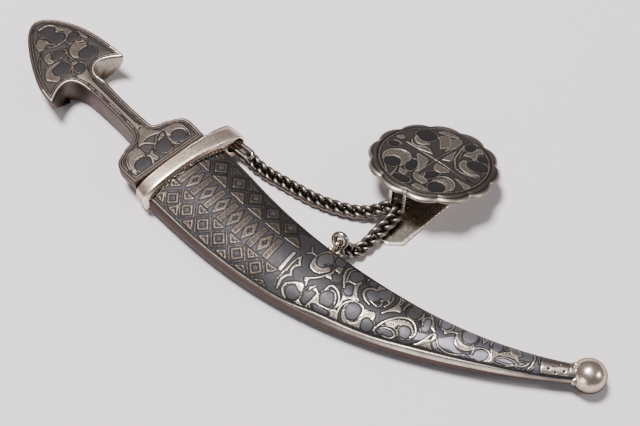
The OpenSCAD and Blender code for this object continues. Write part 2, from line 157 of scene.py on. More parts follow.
# Engraving, one shape to a line, as distance along the piece and distance across it:
# line WIDTH POINTS is a silver stroke, and groove WIDTH POINTS a dark one;
# patch POINTS is stippled silver, bright POINTS plain silver, and pale TONE POINTS greyer plain silver;
# dark POINTS is niello, and gloss SHEEN POINTS niello with a painted sheen, pale colour standing in for reflected
# light;
# blob CENTRE RADII TURN SHEEN is a niello leaf with a painted sheen.
SCROLL = """
blob 28.95,1.3 .7,.62 0
blob 25.3,-3.35 .95,.85 0
blob 27.2,-2.75 .72,1.05 -10
blob 29.35,-1.9 .95,1.08 0 .05
blob 29.35,-3.42 1.05,.42 0
blob 30.9,3.05 .95,1.05 0
blob 31.15,.65 .72,.8 0 .08
blob 33.2,3.3 .6,.5 0
blob 34.15,1.6 .98,.85 0 .1
blob 35.45,2.7 1.02,1.12 0 .1
blob 35.2,-2.35 .75,.75 0 .05
blob 37.6,-2.15 1.05,.55 15 .12
blob 41.8,.75 .6,1 0 .5
blob 44.05,2.1 .75,.9 0 .3
gloss .6 40.9,-.9 41.4,-.5 42.5,-.3 42.9,-.5 42.2,-1.3 41.6,-1.5 41,-1.6
gloss .75 43.2,-1.3 43.5,-.6 44.3,-.1 45.4,.5 46,.1 46,-.8 47.2,-1.2 48.6,-.9 49,-1.3 46.5,-1.5 \
45.4,-1.3 44.3,-1.4 43.7,-1.7
blob 49.2,-.75 .95,.68 20 1
blob 50.9,1.1 .7,.85 0 .15
blob 52.05,-.6 1.2,.42 5 1
blob 54.2,-.65 .8,.28 0 1
line .2 23.4,3.6 23.75,3 24.2,2.65 24.85,2.55
line .2 23.6,2.1 23.85,2.45 24.2,2.6
bright 24.8,4.8 26.5,4.72 26.5,4.5 25.2,4.5 24.8,4.6
patch 24.8,1.9 25,.8 25.6,.45 26.3,.4 27,.8 27.6,1.7 27.1,2.1 26.6,1.5 26,1.35 25.4,1.6 25.1,2.3
line .26 26.9,4.3 26,4.38 25.3,4.05 24.95,3.2 24.85,2.4 24.95,1.4 25.3,.65
blob 26.1,2.75 1.05,1.3 0 .12
blob 27.8,3.8 .85,.8 0
line .12 26.5,2 26.8,2.3 26.95,2.5
line .24 28,2.3 27.9,1.5 27.5,.8 26.9,0 26.3,-.5 25.5,-1
bright 28,1.35 28.5,.75 27.6,.55 27.7,1
bright 25.5,-.95 26.2,-.7 26.1,-1.3
patch 28,2.2 28.85,2.05 28.7,3.1 28.15,3.05
patch 28.3,4.6 29,4.65 28.95,4
line .3 30.4,.6 29.8,1.6 29.35,2.6 29.25,3.4 29.6,4.1 30.2,4.6
line .2 30.2,1.5 29.95,2.2 29.75,3.2 30,3.9 30.5,4.38 31.1,4.35 31.5,3.95
bright 30.1,4 30.6,4.45 31.3,4.35 31,4.1 30.5,4.05
line .2 30.2,1.3 30.4,1.75 30.9,1.8 31.4,1.9 31.8,2.6
line .28 31.85,2.5 31.75,1.6 32,.9 32.4,.3 32.9,-.1
line .16 31.4,1.9 31.6,1.2 31.9,.4 31.9,-.1
bright 31.9,.4 32.3,.3 32.7,-.15 32.1,-.4 31.2,-.4 31.8,-.2
patch 27.95,-1.7 28.3,-2 28.8,-2.9 28.1,-3.05
line .3 28.6,-1 28.8,-.2 29.3,0 30,-.3 30.5,-.8 30.85,-1.5 30.8,-2.3
line .14 29.2,-.7 29.8,-.65 30.2,-1.2 30.45,-1.9
line .2 30.85,-.35 31.1,-1.2 31.05,-1.9 30.8,-2.4
bright 30.85,-.3 31.3,-.45 31.8,-.4 31.4,-.9 31.1,-1.1
patch 30.3,-2.8 31.1,-2.5 31.35,-3 31.6,-3.75 30.6,-3.75 30.75,-3.2
line .16 28.1,-3.05 29,-2.98 30.3,-2.85
line .2 27.6,-3.85 28.4,-3.98 29.4,-3.95 30.6,-3.72
line .16 26.8,-2.25 27,-1.6 27.3,-1.1
bright 27.15,-1.8 27.5,-1.3 28.1,-1.7 28,-1.9
line .2 28,-2 27.9,-3 27.55,-3.8
line .2 26.3,-4.05 27,-4.05 27.7,-3.95
bright 26.35,-3.6 26.9,-4 26.3,-4.15
line .26 24,-2.9 23.95,-3.6 24.35,-4.1 24.9,-4.35
line .24 24.05,-2.8 24.6,-2.4 25.2,-2.05 25.9,-1.9 26.15,-2.6
patch 25,-2.3 25.9,-1.95 26.15,-2.9 25.6,-2.65
line .16 25.6,-1.2 26.1,-1.4 26.2,-1.9
line .2 31.9,-3.75 31.4,-2.9 31.3,-2 31.55,-1.2 32.1,-.6 32.9,-.2
line .14 31.9,-1.3 31.75,-2 31.95,-2.6 32.5,-3.15 33.3,-3.3
patch 31.9,-1.6 31.85,-2.6 32.5,-3.35 33.4,-3.5 34.3,-3.5 34.4,-2.6 34.1,-1.8 34,-2.4 33.5,-2.9 32.8,-2.9 32.2,-2.4
blob 32.9,-1.65 1,1.05 0 .08
line .2 33.2,-.35 33.8,-.6 34.1,-1.2 33.9,-2
patch 34.15,-.6 34.7,-.75 35.5,-.6 35.7,-1.7 35.1,-1.45 34.6,-1.6 34.2,-2.2
bright 35.5,-.6 35.75,-1.75 35.45,-1.5
line .26 34.2,2.6 33.6,2.5 33.1,2.2 32.85,1.6 33,1 33.5,.5 34.3,.1
bright 34.1,2.6 34.2,3.2 34.7,3.75 35.3,3.95 35.6,3.9 34.7,3.2 34.4,2.7
line .34 32.3,3.5 32.4,4.1 33.2,4.2 33.9,4.1 34.2,3.6 34.1,2.9
line .16 33.9,.7 34.8,.4 35.3,.25
line .16 35.5,1.3 35.6,.7 35.4,.3
line .14 35.4,1.3 35.6,1.7 36.2,1.8 36.3,1.3 35.8,.4
line .2 36.1,3.4 36.5,2.4 36.5,1.6 36.1,.7
line .26 36.5,3.9 37.2,3.3 37.45,2.4 37.3,1.4 36.6,.3 36.2,-.2
patch 37.3,3.75 38.3,3.7 38.1,3 37.7,2.7
line .16 37.1,3.8 37.8,2.6 37.6,1.8
bright 37.7,1.9 38.3,1 37.4,.75 36.6,.1 37.2,.9
patch 38.7,3.3 39.3,3.45 40.6,3.45 41.2,3.1 40.3,2.9 39.3,2.8
line .24 38.4,1.4 38.45,2.2 38.7,3 39.3,3.5 40.2,3.62 40.9,3.4
blob 39.9,1.85 .95,1 0
line .18 40.9,2.3 40.9,1.5 40.6,1
patch 37,-1.2 37.9,-.4 38.8,.05 39.8,.1 40.4,-.4 40.7,-1.1 40.5,-1.8 40.1,-.9 39.4,-.5 38.6,-.8 38.4,-1.3 37.6,-1.4
line .26 36.1,-2.6 36.6,-1.6 37.3,-.7 38.3,.2 39.3,.55 40.1,.4 40.7,-.2 40.95,-1 40.6,-1.8
groove .1 36.6,-1.9 37.2,-1 38.1,-.25 39,.2 39.9,.2 40.5,-.35 40.75,-1
blob 39.75,-1.2 .78,.76 0 .3
line .14 36.7,-2.1 37.4,-1.7 38.2,-1.7 38.7,-2.1 38.3,-2.6 37.2,-2.7
line .22 39.2,-2.65 40.1,-2.75 41.3,-2.2 42.2,-1.3 42.9,-.2 43.2,.05
patch 41.1,-2.5 42.1,-1.5 42.9,-.9 43.1,-1.6 43.6,-2 44.9,-2.05 43.5,-2.4 41.2,-2.7
line .16 38.2,-3.05 40,-2.95 42.2,-2.72 44.6,-2.35 46.8,-2.05
line .12 45.6,-1.95 47.5,-1.75 49.6,-1.75 51.6,-1.55 53,-1.35
line .1 46.4,-1.6 47.3,-1.3 47.9,-1.45
line .14 41.4,.4 41.2,1.1 41.6,1.9 42.2,1.9
line .2 41.2,3.1 41.9,2.4 42.4,1.6 42.75,.8
line .16 41,2 41.1,1.6 41.35,1.1
bright 42.3,1.6 42.9,.7 43.2,0 42.4,.6
line .2 43.3,1.5 43.2,2.3 43.5,2.9 44.3,2.95 44.85,2.4 44.95,1.6 44.6,1.1
bright 44,.95 44.3,.4 44.7,.8 45.5,1.1 45,1.25 44.6,1.05
bright 43.1,.05 43.5,-.1 43.6,-.6 43,-1.2
line .16 43.6,-.6 44,-1.3 44.9,-1.65 45.7,-1.7 46.4,-1.55
patch 45.6,1.2 45.7,-.1 46.2,-.75 47.2,-.85 48.3,-.3 48.2,.1 47.6,-.1 46.8,0 46.3,.6 46.2,1.5
line .2 45.1,1.2 45.7,1.1 46,.4 46.6,-.1 47.4,-.25 48.1,.2
blob 47.3,1.3 .95,1.05 0 .4
line .16 48.2,-.9 48.2,-.2 49.2,.15 50.1,-.2 50,-1.1 49.2,-1.6 48.4,-1.6
bright 50.2,0 50.3,-1 49.5,-1.5 50.7,-1.35 50.55,-.3
patch 48.5,2.5 49.2,2.3 49.5,1.5 49.1,.9 48.9,1.7
patch 50.1,.5 51.2,.15 52.3,.7 52.9,.5 53.6,.15 53.7,-.1 52.3,0 51.2,-.2 50.5,-.9
line .16 50.2,.7 50.1,1.4 50.6,2.1 51.5,2 52,1.3
line .14 51,-.6 51.9,-.2 53.1,-.4 53.5,-.8 52.4,-1 51.2,-.9
line .16 53.5,-.9 54.5,-.7 55.05,-.1
patch 52.3,1.5 53.4,1.5 54,.6 53.3,.3 52.6,.7
groove .14 55.05,1.7 55.2,.5 55.1,-.4 54.7,-1.1
line .18 55.4,1.6 55.6,.6 55.3,-.5 54.8,-1
line .12 56.3,1.7 56.1,.8 56.25,-.1
line .1 57.4,1.4 57.3,.6 57.5,.1
pale .12 56.5,1.35 59.7,1 59.7,-.1 58,-.02 56.5,-.1
bright 56.4,-.15 58,-.05 59.7,-.1 59.7,-1.14 58.2,-1.27 56.6,-1.36
pale .3 59.85,1 61.2,1 61.2,-1 59.85,-1
dark 57.15,-.35 57.32,-.15 57.5,-.33 57.32,-.52
dark 58,-.72 58.14,-.56 58.3,-.7 58.14,-.86
dark 59.05,-.42 59.2,-.26 59.36,-.4 59.2,-.56
"""
PANEL_END = """
line .1 2.72,-5 2.72,5
patch 2.85,4.1 3.3,4.6 2.85,5.05
patch 2.85,5.2 3.3,5.5 2.9,5.8
line .4 22.3,-1.85 22.3,1.05
groove .08 22.3,-1.8 22.3,1
line .12 23,.3 22.95,-1 22.8,-2.4 22.75,-3.4
line .3 23.35,1.25 23.45,.9 23.7,.4 24.1,.1
line .32 24.1,.1 23.65,-.25 23.5,-.8 23.6,-1.3 23.95,-1.7
line .36 23.95,-1.7 23.5,-2 23.2,-2.8 23.4,-4
line .14 23.3,1.2 23.12,.6 23.05,-.6 23.1,-1.6
"""
HILT_FACE = """
patch 1.7,0 2,1.9 3.2,2.6 4.6,3.6 5.1,3.2 5.3,2.5 4.2,2.6 3.6,2.1 2.6,2 2.1,1.2 1.9,0
line .2 1.7,-.1 1.7,1.2 2.3,2 3.2,2.25 3.7,1.8 4,2.4
line .16 4.9,3.9 5.3,2.5 5.9,1.6 6,.5 5.8,-.4 5.4,-1
patch 3.2,-.9 4,-.5 4.5,0 4.9,-.8 5.3,-1.9 4.2,-2.2
line .14 2.6,-.7 3,-1.5 4,-2.1 5.3,-2.2
blob 2.9,.8 .95,1.15 10
blob 4.9,1.1 .85,1.25 -15
dark 3.2,-.4 3.4,1.3 4.4,1.6 4.9,.1 4.2,-.2
line .12 5.5,-2 7,-3.5 9,-4.6
patch 6.2,-1.2 6.6,-2.4 7.9,-2.6 8.3,-1.8 7.8,-1.7
patch 7.7,2.9 7.4,2 8,1.2 9,.9 9.8,1.3 9.3,1.6 8.9,2.3 8.9,3.3 8.3,3.8
line .2 8.3,4 7.6,3.3 7.35,2.2 7.9,1.2 9,.8 10,1.2
line .14 7.1,3.4 6.95,2.2 7.5,.9 8.8,.4 10.2,.7
blob 9.95,2.75 1.1,1.2 0
blob 6.2,2.9 .75,1 20
patch 5.6,4.3 7.2,4.6 7.8,4.4 7.2,4 6.2,4
patch 9.2,-2.9 10.5,-3.2 11,-2.6 11.5,-3.4 10.8,-4.1 10,-4.5 8.6,-3.4 8.5,-2.2 8.7,-1.2
line .16 8.6,-.8 8.5,-1.9 8.9,-3.2 9.9,-4.2 11,-4
line .12 8.3,-.4 8.1,-2 8.4,-3.5
blob 9.95,-1.75 1,1.25 0
blob 7.45,-.65 .6,1.05 0
blob 11.5,.35 .85,.75 0
line .14 9,.1 10.2,.1 10.9,-.6 12,-1.1
line .14 10.6,1 11.4,1.3 12.3,1
patch 9.9,.5 10.5,.7 10.6,-.1 10.1,-.2
bright 12.1,1 13.6,.75 14.6,.3 14.6,-.3 13.6,-.75 12.3,-.9 12.6,0
pale .08 13.8,.36 16,.3 20,.24 24,.28 25.4,.5 25.4,-.5 24,-.28 20,-.24 16,-.3 13.8,-.36
patch 25.2,.6 27,1.2 28.1,1.9 27.7,0 28.1,-1.8 27,-1.2 25.2,-.6 25.9,0
patch 28.4,2.3 28.2,3.1 28.5,4.1 29.2,4.5 30.2,4.6 29.4,4 29.1,3.2 29.4,2.3
line .18 28.15,2.3 28.1,3.2 28.5,4.3 29.3,4.7 30.4,4.75 31.2,4.5
blob 30.2,3.3 .95,.95 0
line .16 28.9,2.2 30,2 31,2.1 31.5,2.6
line .2 28,2.4 28.3,1 29.3,.1
line .2 28,-1.8 28.2,-.9 29.3,.1
patch 28.3,2 28.7,1 29.2,.6 28.9,1.9
patch 29.6,-.7 30.3,-1.1 31.2,-.9 31.4,-1.5 30.2,-1.7
blob 30.2,.7 1.1,1.05 0
patch 28.4,-2 28.2,-3.2 28.8,-4.2 30,-4.8 31.4,-4.75 30.2,-4.3 29.5,-3.3 29.7,-2.1
line .18 28.2,-2 28.05,-3.2 28.7,-4.4 30,-5 31.5,-4.95
blob 30.8,-3.1 1,1.2 0
line .14 29.6,-1.8 30.6,-1.75 31.5,-2.1
line .12 31.95,-5 31.95,5
"""
ROSETTE_FACE = """
patch -.7,.9 -3.4,.75 -5.2,1.1 -3.6,1.35 -2.2,1.9
patch .25,2.4 -.1,4.6 -.7,5.6 .6,6.4 1.1,5.1
patch -.6,2.6 -1.7,4.4 -2.2,5 -1.2,6.3 -.5,5.2 .1,4.5 .1,3.6
patch .9,.6 2,1.2 1.6,2.6 1.4,3.6 1,2.2
patch .8,-.6 3,-1 2.4,-2 1.4,-2.1 .8,-1.3
patch -.5,-.6 -2.4,-.3 -1.7,-1.5 -.8,-2.6 -.3,-3.9 -.1,-2.2
patch -.6,-4.4 .3,-4.3 1.9,-4.9 1.6,-5.7 .2,-5.5
patch .6,-7 2.6,-7.1 2.9,-6.5 1.9,-6.2 1,-6.3
line .08 -.35,-4.6 -.05,-3 .15,-1 .35,1 .85,3.5 1.1,5.6
groove .12 -.2,-4.5 .1,-3 .3,-1 .5,1 1,3.5 1.25,5.5
line .07 -5,1.05 -3,.65 0,.05 2,-.35 4,-.95 7,-1.55
groove .1 -5,.9 -3,.5 0,-.1 2,-.5 4,-1.1 7,-1.7
patch -5.5,-3.9 -5.7,-2.8 -5.3,-1.8 -4.4,-1.2 -3.5,-1.2 -2.8,-1.9 -2.5,-3 -2.7,-4.3 -3.2,-3.4 -3.9,-2.9 -4.8,-3.1
line .24 -5.5,-4.3 -5.95,-3.3 -5.95,-2.5 -5.5,-1.6 -4.5,-.95 -3.4,-1 -2.6,-1.8 -2.35,-2.9
line .12 -5.3,-3.7 -5,-3 -4.4,-2.7 -3.7,-2.75
blob -4.1,-3.95 1.1,1.15 0
blob -1.7,-3.1 .65,1.2 15
line .2 -1.15,-2.1 -.6,-3.1 -.5,-4.1
line .16 -3,-4.7 -2.75,-5.6 -2.7,-7
line .12 -4.5,-5.4 -3.9,-6 -3,-6.8
patch -2.6,-4.6 -1.2,-4.9 -1.2,-5.7 -2.2,-5.5
blob -1.2,-6.5 1.1,.7 0
patch 2.2,-4.4 2.6,-3.6 3.4,-2.9 4.3,-3 5,-3.7 5.2,-4.6 4.7,-5.6 4.4,-4.6 3.7,-4 2.9,-4.1
line .2 2.4,-3.3 3,-2.6 3.9,-2.5 4.8,-3 5.3,-3.9 5.3,-4.8
line .12 2.7,-4.1 3.5,-3.55 4.3,-3.9 4.8,-4.9
blob 3.5,-5.2 1.15,1.15 0
blob 1.45,-3.3 .65,1.15 -25
line .14 .7,-3.5 .95,-4.4 1.5,-4.7
patch -4.9,3.5 -4.6,2.4 -3.7,1.8 -2.7,2.1 -2.2,2.9 -3,2.8 -4,2.9
line .14 -4.9,3.6 -4.3,2.3 -3.3,1.95 -2.3,2.6
line .2 -4.8,2.1 -4.3,1.45 -3.4,1.2 -2.2,1.8
blob -3.7,4.25 1.4,1.3 0
patch -2.9,6 -1,6.2 .2,6.6 -1,7 -2.4,6.7
blob -6.2,-.35 .7,.65 0
line .12 -6.8,1.5 -6.1,1.9 -5.6,1.4
patch -6.9,1.2 -6.3,2.2 -5.7,1.9 -6,1.2
line .12 -6.7,.3 -5.8,.5 -5.1,.1
patch 3.4,2.8 3.2,1.4 4,.4 5.4,.1 6.6,.7 5.6,.8 4.4,1.2
line .18 3.2,2.5 3.25,1.2 4.2,.35 5.6,.1 6.7,.6
line .12 3,.2 4.4,-.25 6,-.1 7,.3
blob 5.4,2.35 1.4,1.05 0
blob 5.3,4.3 .8,.7 0
patch 2.6,3.3 3.4,3.7 4.4,3.4 4.1,4.9 4.6,5.5 3.6,6.2 3.3,5 2.7,4.3
blob 2.5,5.6 .65,.9 0
line .2 1.55,5.5 1.85,3.5 2.2,1.8 3.2,.3
line .1 1.9,5.2 2.2,3.6 2.6,2.2
patch 4.2,-1.9 5.8,-2.1 6.9,-2.3 6.4,-3.2 5.9,-2.8
line .1 4.2,6.7 6,5.4 7.1,3.8
"""


# Shapes

def smooth(table, s, column):
    """A smooth curve through a table whose first column rises."""
    table = np.asarray(table, float)
    x, y, n = table[:, 0], table[:, column], len(table)
    before, after = np.maximum(np.arange(n) - 1, 0), np.minimum(np.arange(n) + 1, n - 1)
    slope = (y[after] - y[before]) / (x[after] - x[before])
    s = np.asarray(s, float)
    i = np.clip(np.searchsorted(x, s, side="right") - 1, 0, n - 2)
    step = x[i + 1] - x[i]
    u = (s - x[i]) / step
    return (y[i] * (2 * u**3 - 3 * u**2 + 1) + y[i + 1] * (3 * u**2 - 2 * u**3)
            + step * slope[i] * (u**3 - 2 * u**2 + u) + step * slope[i + 1] * (u**3 - u**2))


def heading(s):
    """The scabbard's direction at distance s from the mouth."""
    return np.radians(MOUTH_HEADING) + np.maximum(np.asarray(s, float) - STRAIGHT, 0) / BEND


def on_scabbard(s, v, z):
    """Points at distance s from the mouth, v across the scabbard and height z."""
    s, v, z = np.broadcast_arrays(np.asarray(s, float), v, z)
    start, turn = math.radians(MOUTH_HEADING), heading(s)
    run, bent = np.minimum(s, STRAIGHT), BEND * (s > STRAIGHT)
    x = MOUTH[0] + run * math.cos(start) + bent * (np.sin(turn) - math.sin(start)) - v * np.sin(turn)
    y = MOUTH[1] + run * math.sin(start) - bent * (np.cos(turn) - math.cos(start)) + v * np.cos(turn)
    return np.stack([x, y, z], -1)


def spline(points, spacing=0.08):
    """A smooth path through points."""
    p = np.asarray(points, float)
    if len(p) < 3:
        return p
    p = np.vstack([2 * p[0] - p[1], p, 2 * p[-1] - p[-2]])
    path = [p[1]]
    for a, b, c, d in zip(p[:-3], p[1:-2], p[2:-1], p[3:]):
        n = max(2, int(np.linalg.norm(c - b) / spacing))
        u = (np.arange(1, n + 1) / n)[:, None]
        path.extend(0.5 * (2 * b + (c - a) * u + (2 * a - 5 * b + 4 * c - d) * u**2 + (3 * b - a - 3 * c + d) * u**3))
    return np.array(path)


def bezier(p, steps):
    """Steps along a curve given by four points, without its first point."""
    u = (np.arange(1, steps + 1) / steps)[:, None]
    p = np.asarray(p, float)
    return (1 - u)**3 * p[0] + 3 * (1 - u)**2 * u * p[1] + 3 * (1 - u) * u**2 * p[2] + u**3 * p[3]


def ramp(x, low, high):
    """A smooth step from 0 at low to 1 at high."""
    u = np.clip((x - low) / (high - low), 0, 1)
    return u * u * (3 - 2 * u)


def edge_distance(p, path, closed):
    """Distance of points from a path, and how far along the path the nearest place is."""
    ends = np.roll(path, -1, 0) if closed else path[1:]
    starts = path if closed else path[:-1]
    nearest, place = np.full(len(p), 1e9), np.zeros(len(p))
    for k, (a, b) in enumerate(zip(starts, ends)):
        d = b - a
        t = np.clip(((p - a) @ d) / max(d @ d, 1e-12), 0, 1)
        gap = np.linalg.norm(p - a - t[:, None] * d, axis=1)
        closer = gap < nearest
        nearest[closer] = gap[closer]
        place[closer] = (k + t[closer]) / len(starts)
    return nearest, place


def inside(p, path):
    """True for points inside a closed path."""
    hit = np.zeros(len(p), bool)
    for a, b in zip(path, np.roll(path, -1, 0)):
        crosses = (a[1] > p[:, 1]) != (b[1] > p[:, 1])
        if crosses.any():
            hit[crosses] ^= p[crosses, 0] < (b[0] - a[0]) * (p[crosses, 1] - a[1]) / (b[1] - a[1]) + a[0]
    return hit


def depth_in(p, path):
    """Distance from a closed path's edge, positive inside."""
    gap = edge_distance(p, path, True)[0]
    return np.where(inside(p, path), gap, -gap)


# What an engraving stores for its finish, and a shape's edge, where its finish starts
LAYERS = ("cut", "ground", "inlay", "tone", "sheen")
EDGE = -0.03


class Engraving:
    """What is cut at each point of a face: how deep inside a silver shape it lies, and its finish."""

    def __init__(self, places, cut=-1.0, tone=1.0):
        self.at = np.asarray(places, float)
        n = len(self.at)
        self.cut, self.tone = np.full(n, cut), np.full(n, tone)
        self.ground, self.inlay, self.sheen, self.swell = (np.zeros(n) for _ in range(4))

    def take(self, spots, work):
        """Takes another engraving's layers over at some of the points."""
        for name in LAYERS:
            getattr(self, name)[spots] = getattr(work, name)

    def near(self, path, reach):
        """The points within reach of a path's box."""
        low, high = path.min(0) - reach, path.max(0) + reach
        return np.flatnonzero(((self.at > low) & (self.at < high)).all(1))

    def silver(self, spots, depth, tone, ground=0.0):
        """Raises spots to silver as deep as depth says, plain or as a stippled ground."""
        self.cut[spots] = np.maximum(self.cut[spots], depth)
        covered = spots[depth > EDGE]
        self.ground[covered], self.tone[covered], self.inlay[covered] = ground, tone, 0

    def niello(self, spots, depth, sheen):
        """Lays niello over spots as deep as depth says, with a painted sheen: pale colour standing in for reflected
        light.
        """
        self.cut[spots] = np.minimum(self.cut[spots], -depth)
        self.sheen[spots] = np.where(depth > EDGE, sheen, self.sheen[spots])
        self.inlay[spots] = np.maximum(self.inlay[spots], ramp(depth, -0.07, 0.07))

    def stroke(self, points, width, dark=False, tone=1.0):
        """A stroke along points: a tapered silver one, or a dark one."""
        path = spline(points)
        spots = self.near(path, width / 2 + 0.3)
        gap, place = edge_distance(self.at[spots], path, False)
        taper = 1 if dark or len(points) < 3 else 0.45 + 0.55 * np.sin(np.pi * np.clip(place, 0.02, 0.98))**0.5
        depth = width / 2 * taper - gap
        if dark:
            self.cut[spots] = np.minimum(self.cut[spots], -depth)
        else:
            self.silver(spots, depth, tone=tone)

    def area(self, points, kind, tone=1.0):
        """A filled shape, with straight sides where it has up to four points."""
        path = np.asarray(points, float)
        if len(path) > 4:
            path = spline(np.vstack([path, path[:1]]), 0.25)[:-1]
        spots = self.near(path, 0.3)
        depth = depth_in(self.at[spots], path)
        # Niello, and for the gloss kind a painted sheen
        if kind in ("dark", "gloss"):
            self.niello(spots, depth, tone if kind == "gloss" else 0)
        else:
            self.silver(spots, depth, ground=float(kind == "patch"), tone=tone)
            self.ground[spots[(depth > EDGE) & (depth < 0.1)]] = 0

    def leaf(self, centre, radii, turn, sheen=0.0, ring=True):
        """A niello leaf, with a thin silver ring round it except where another leaf lies."""
        spots = self.near(np.array([np.subtract(centre, max(radii)), np.add(centre, max(radii))]), 0.6)
        d = self.at[spots] - centre
        c, s = math.cos(math.radians(turn)), math.sin(math.radians(turn))
        d = np.stack([d[:, 0] * c + d[:, 1] * s, d[:, 1] * c - d[:, 0] * s], -1) / radii
        depth = (1 - np.hypot(*d.T)) * min(radii)
        if ring:
            clear = (self.inlay[spots] < 0.3) & (depth < -0.05)
            self.silver(spots[clear], 0.045 - np.abs(depth[clear] + 0.18), tone=0.4)
        # Painted sheen, lighter towards the leaf's lower side
        self.niello(spots, depth, sheen * np.clip(0.7 - 0.4 * d[:, 1], 0, 1))
        self.swell[spots] = np.maximum(self.swell[spots], np.maximum(1 - (d**2).sum(1), 0) * min(radii))

    def draw(self, shapes):
        """Draws shapes written one to a line."""
        for line in shapes.strip().splitlines():
            kind, *words = line.split()
            numbers = [float(word) for word in words if "," not in word]
            points = [tuple(map(float, word.split(","))) for word in words if "," in word]
            if kind in ("line", "groove"):
                self.stroke(points, numbers[0], kind == "groove")
            elif kind == "blob":
                self.leaf(*points, *numbers)
            else:
                self.area(points, kind, *numbers)

    def relief(self):
        """Height of the metal: silver stands, its black outline is cut, stippled ground is lower, leaves swell."""
        depth = bpy.context.scene.brooch_sizes.cut_depth / MM
        raised = ramp(self.cut, -0.05, 0.06)
        outline = ramp(self.cut, -0.2, -0.1) * (1 - raised)
        return depth * (raised * (1 - 0.5 * self.ground) - 0.9 * outline + 0.9 * self.swell * (1 - raised))


# Meshes

def made(name, points, faces, hard=None):
    """A mesh object in the frame, from points in millimetres."""
    mesh = bpy.data.meshes.new(name)
    mesh.from_pydata((np.asarray(points) * MM).tolist(), [], faces)
    mesh.update()
    mesh.shade_smooth()
    if hard:
        mesh.set_sharp_from_angle(angle=math.radians(hard))
    piece = bpy.data.objects.new(name, mesh)
    bpy.context.scene.collection.objects.link(piece)
    return piece


def strip_faces(rows, columns, first=0):
    """Faces between closed rows of points, outwards when each row runs anticlockwise seen from the last row."""
    return [(first + i * columns + j, first + i * columns + (j + 1) % columns,
             first + (i + 1) * columns + (j + 1) % columns, first + (i + 1) * columns + j)
            for i in range(rows - 1) for j in range(columns)]


def loft(name, rings, hard=None):
    """A closed skin over rings of points, with a fan of faces over each end."""
    rings = np.asarray(rings, float)
    rows, columns = rings.shape[:2]
    points = np.vstack([rings.reshape(-1, 3), rings[0].mean(0), rings[-1].mean(0)])
    first, last, top = rows * columns, rows * columns + 1, (rows - 1) * columns
    faces = strip_faces(rows, columns)
    faces += [(first, (j + 1) % columns, j) for j in range(columns)]
    faces += [(last, top + j, top + (j + 1) % columns) for j in range(columns)]
    return made(name, points, faces, hard)


def engrave(piece, work, places):
    """Stores an engraving on a piece's first points for its finish to read."""
    n = len(piece.data.vertices)
    for name in LAYERS:
        values = getattr(work, name)
        full = np.full(n, float(name == "cut"))
        full[:len(values)] = values
        piece.data.attributes.new(name, "FLOAT", "POINT").data.foreach_set("value", full)
    full = np.zeros((n, 3))
    full[:len(places), :2] = places
    piece.data.attributes.new("lay", "FLOAT_VECTOR", "POINT").data.foreach_set("vector", full.ravel())


def rubbed(piece, values):
    """Stores a value per point for the finish to read: low for oxide in hollows, painted shade or painted highlights.
    """
    piece.data.attributes.new("rub", "FLOAT", "POINT").data.foreach_set("value", values)


def points_of(piece):
    """A piece's points in millimetres."""
    return np.array([tuple(point.co) for point in piece.data.vertices]) / MM


def deselect():
    """Leaves nothing selected."""
    for item in bpy.context.selected_objects:
        item.select_set(False)


def started(name, add, **values):
    """A primitive with a name, the only thing selected."""
    deselect()
    add(**values)
    piece = bpy.context.object
    piece.name = piece.data.name = name
    return piece


def settle(piece, hard=40):
    """Brings a piece's place into its mesh and smooths its shading up to the angle hard."""
    deselect()
    piece.select_set(True)
    bpy.context.view_layer.objects.active = piece
    bpy.ops.object.transform_apply(location=True, rotation=True, scale=True)
    bpy.ops.object.shade_smooth_by_angle(angle=math.radians(hard), keep_sharp_edges=False)
    return piece


def modified(piece, kind, **settings):
    """Adds a modifier to a piece and applies it."""
    bpy.context.view_layer.objects.active = piece
    change = piece.modifiers.new(kind.title(), kind)
    for key, value in settings.items():
        setattr(change, key, value)
    bpy.ops.object.modifier_apply(modifier=change.name)


def moved(piece, matrix):
    """Moves a piece's points by a matrix whose lengths are millimetres."""
    scaled = matrix.copy()
    scaled.translation = scaled.translation * MM
    piece.data.transform(scaled)
    return piece


def joined(name, pieces):
    """Joins pieces into one object with a name."""
    deselect()
    for piece in pieces:
        piece.select_set(True)
    bpy.context.view_layer.objects.active = pieces[0]
    bpy.ops.object.join()
    pieces[0].name = pieces[0].data.name = name
    return pieces[0]


def shown(piece, material, nodes, body="scabbard"):
    """Gives a piece its finish, its body and the nodes that it stands for."""
    piece.data.materials.clear()
    piece.data.materials.append(material)
    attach(piece, body)
    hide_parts(*nodes)


# Scabbard

# Points of one ring: the engraved top, then half of the sides and half of the back
TOP_POINTS, SIDE_POINTS, BACK_POINTS = 110, 9, 8


def section(s, angle, skin):
    """The scabbard's plain section: across and height at an angle round it."""
    half, back = smooth(SHEATH, s, 1) - skin, smooth(SHEATH, s, 2) + skin
    edge, crown = smooth(SHEATH, s, 3), smooth(SHEATH, s, 4) - skin
    dome, square = smooth(SHEATH, s, 5), smooth(SHEATH, s, 6)
    c, up = np.cos(angle), np.sin(angle)
    across = np.where(up >= 0, half * c, half * (np.sign(c) * np.abs(c)**(2 / square)))
    height = np.where(up >= 0, edge + (crown - edge) * np.abs(up)**dome,
                      edge - (edge - back) * np.abs(up)**(2 / square))
    return across, height


def shift_to(s, v, z):
    """The matrix that moves a piece to a place on the scabbard."""
    return Matrix.Translation(on_scabbard(s, v, z).tolist())


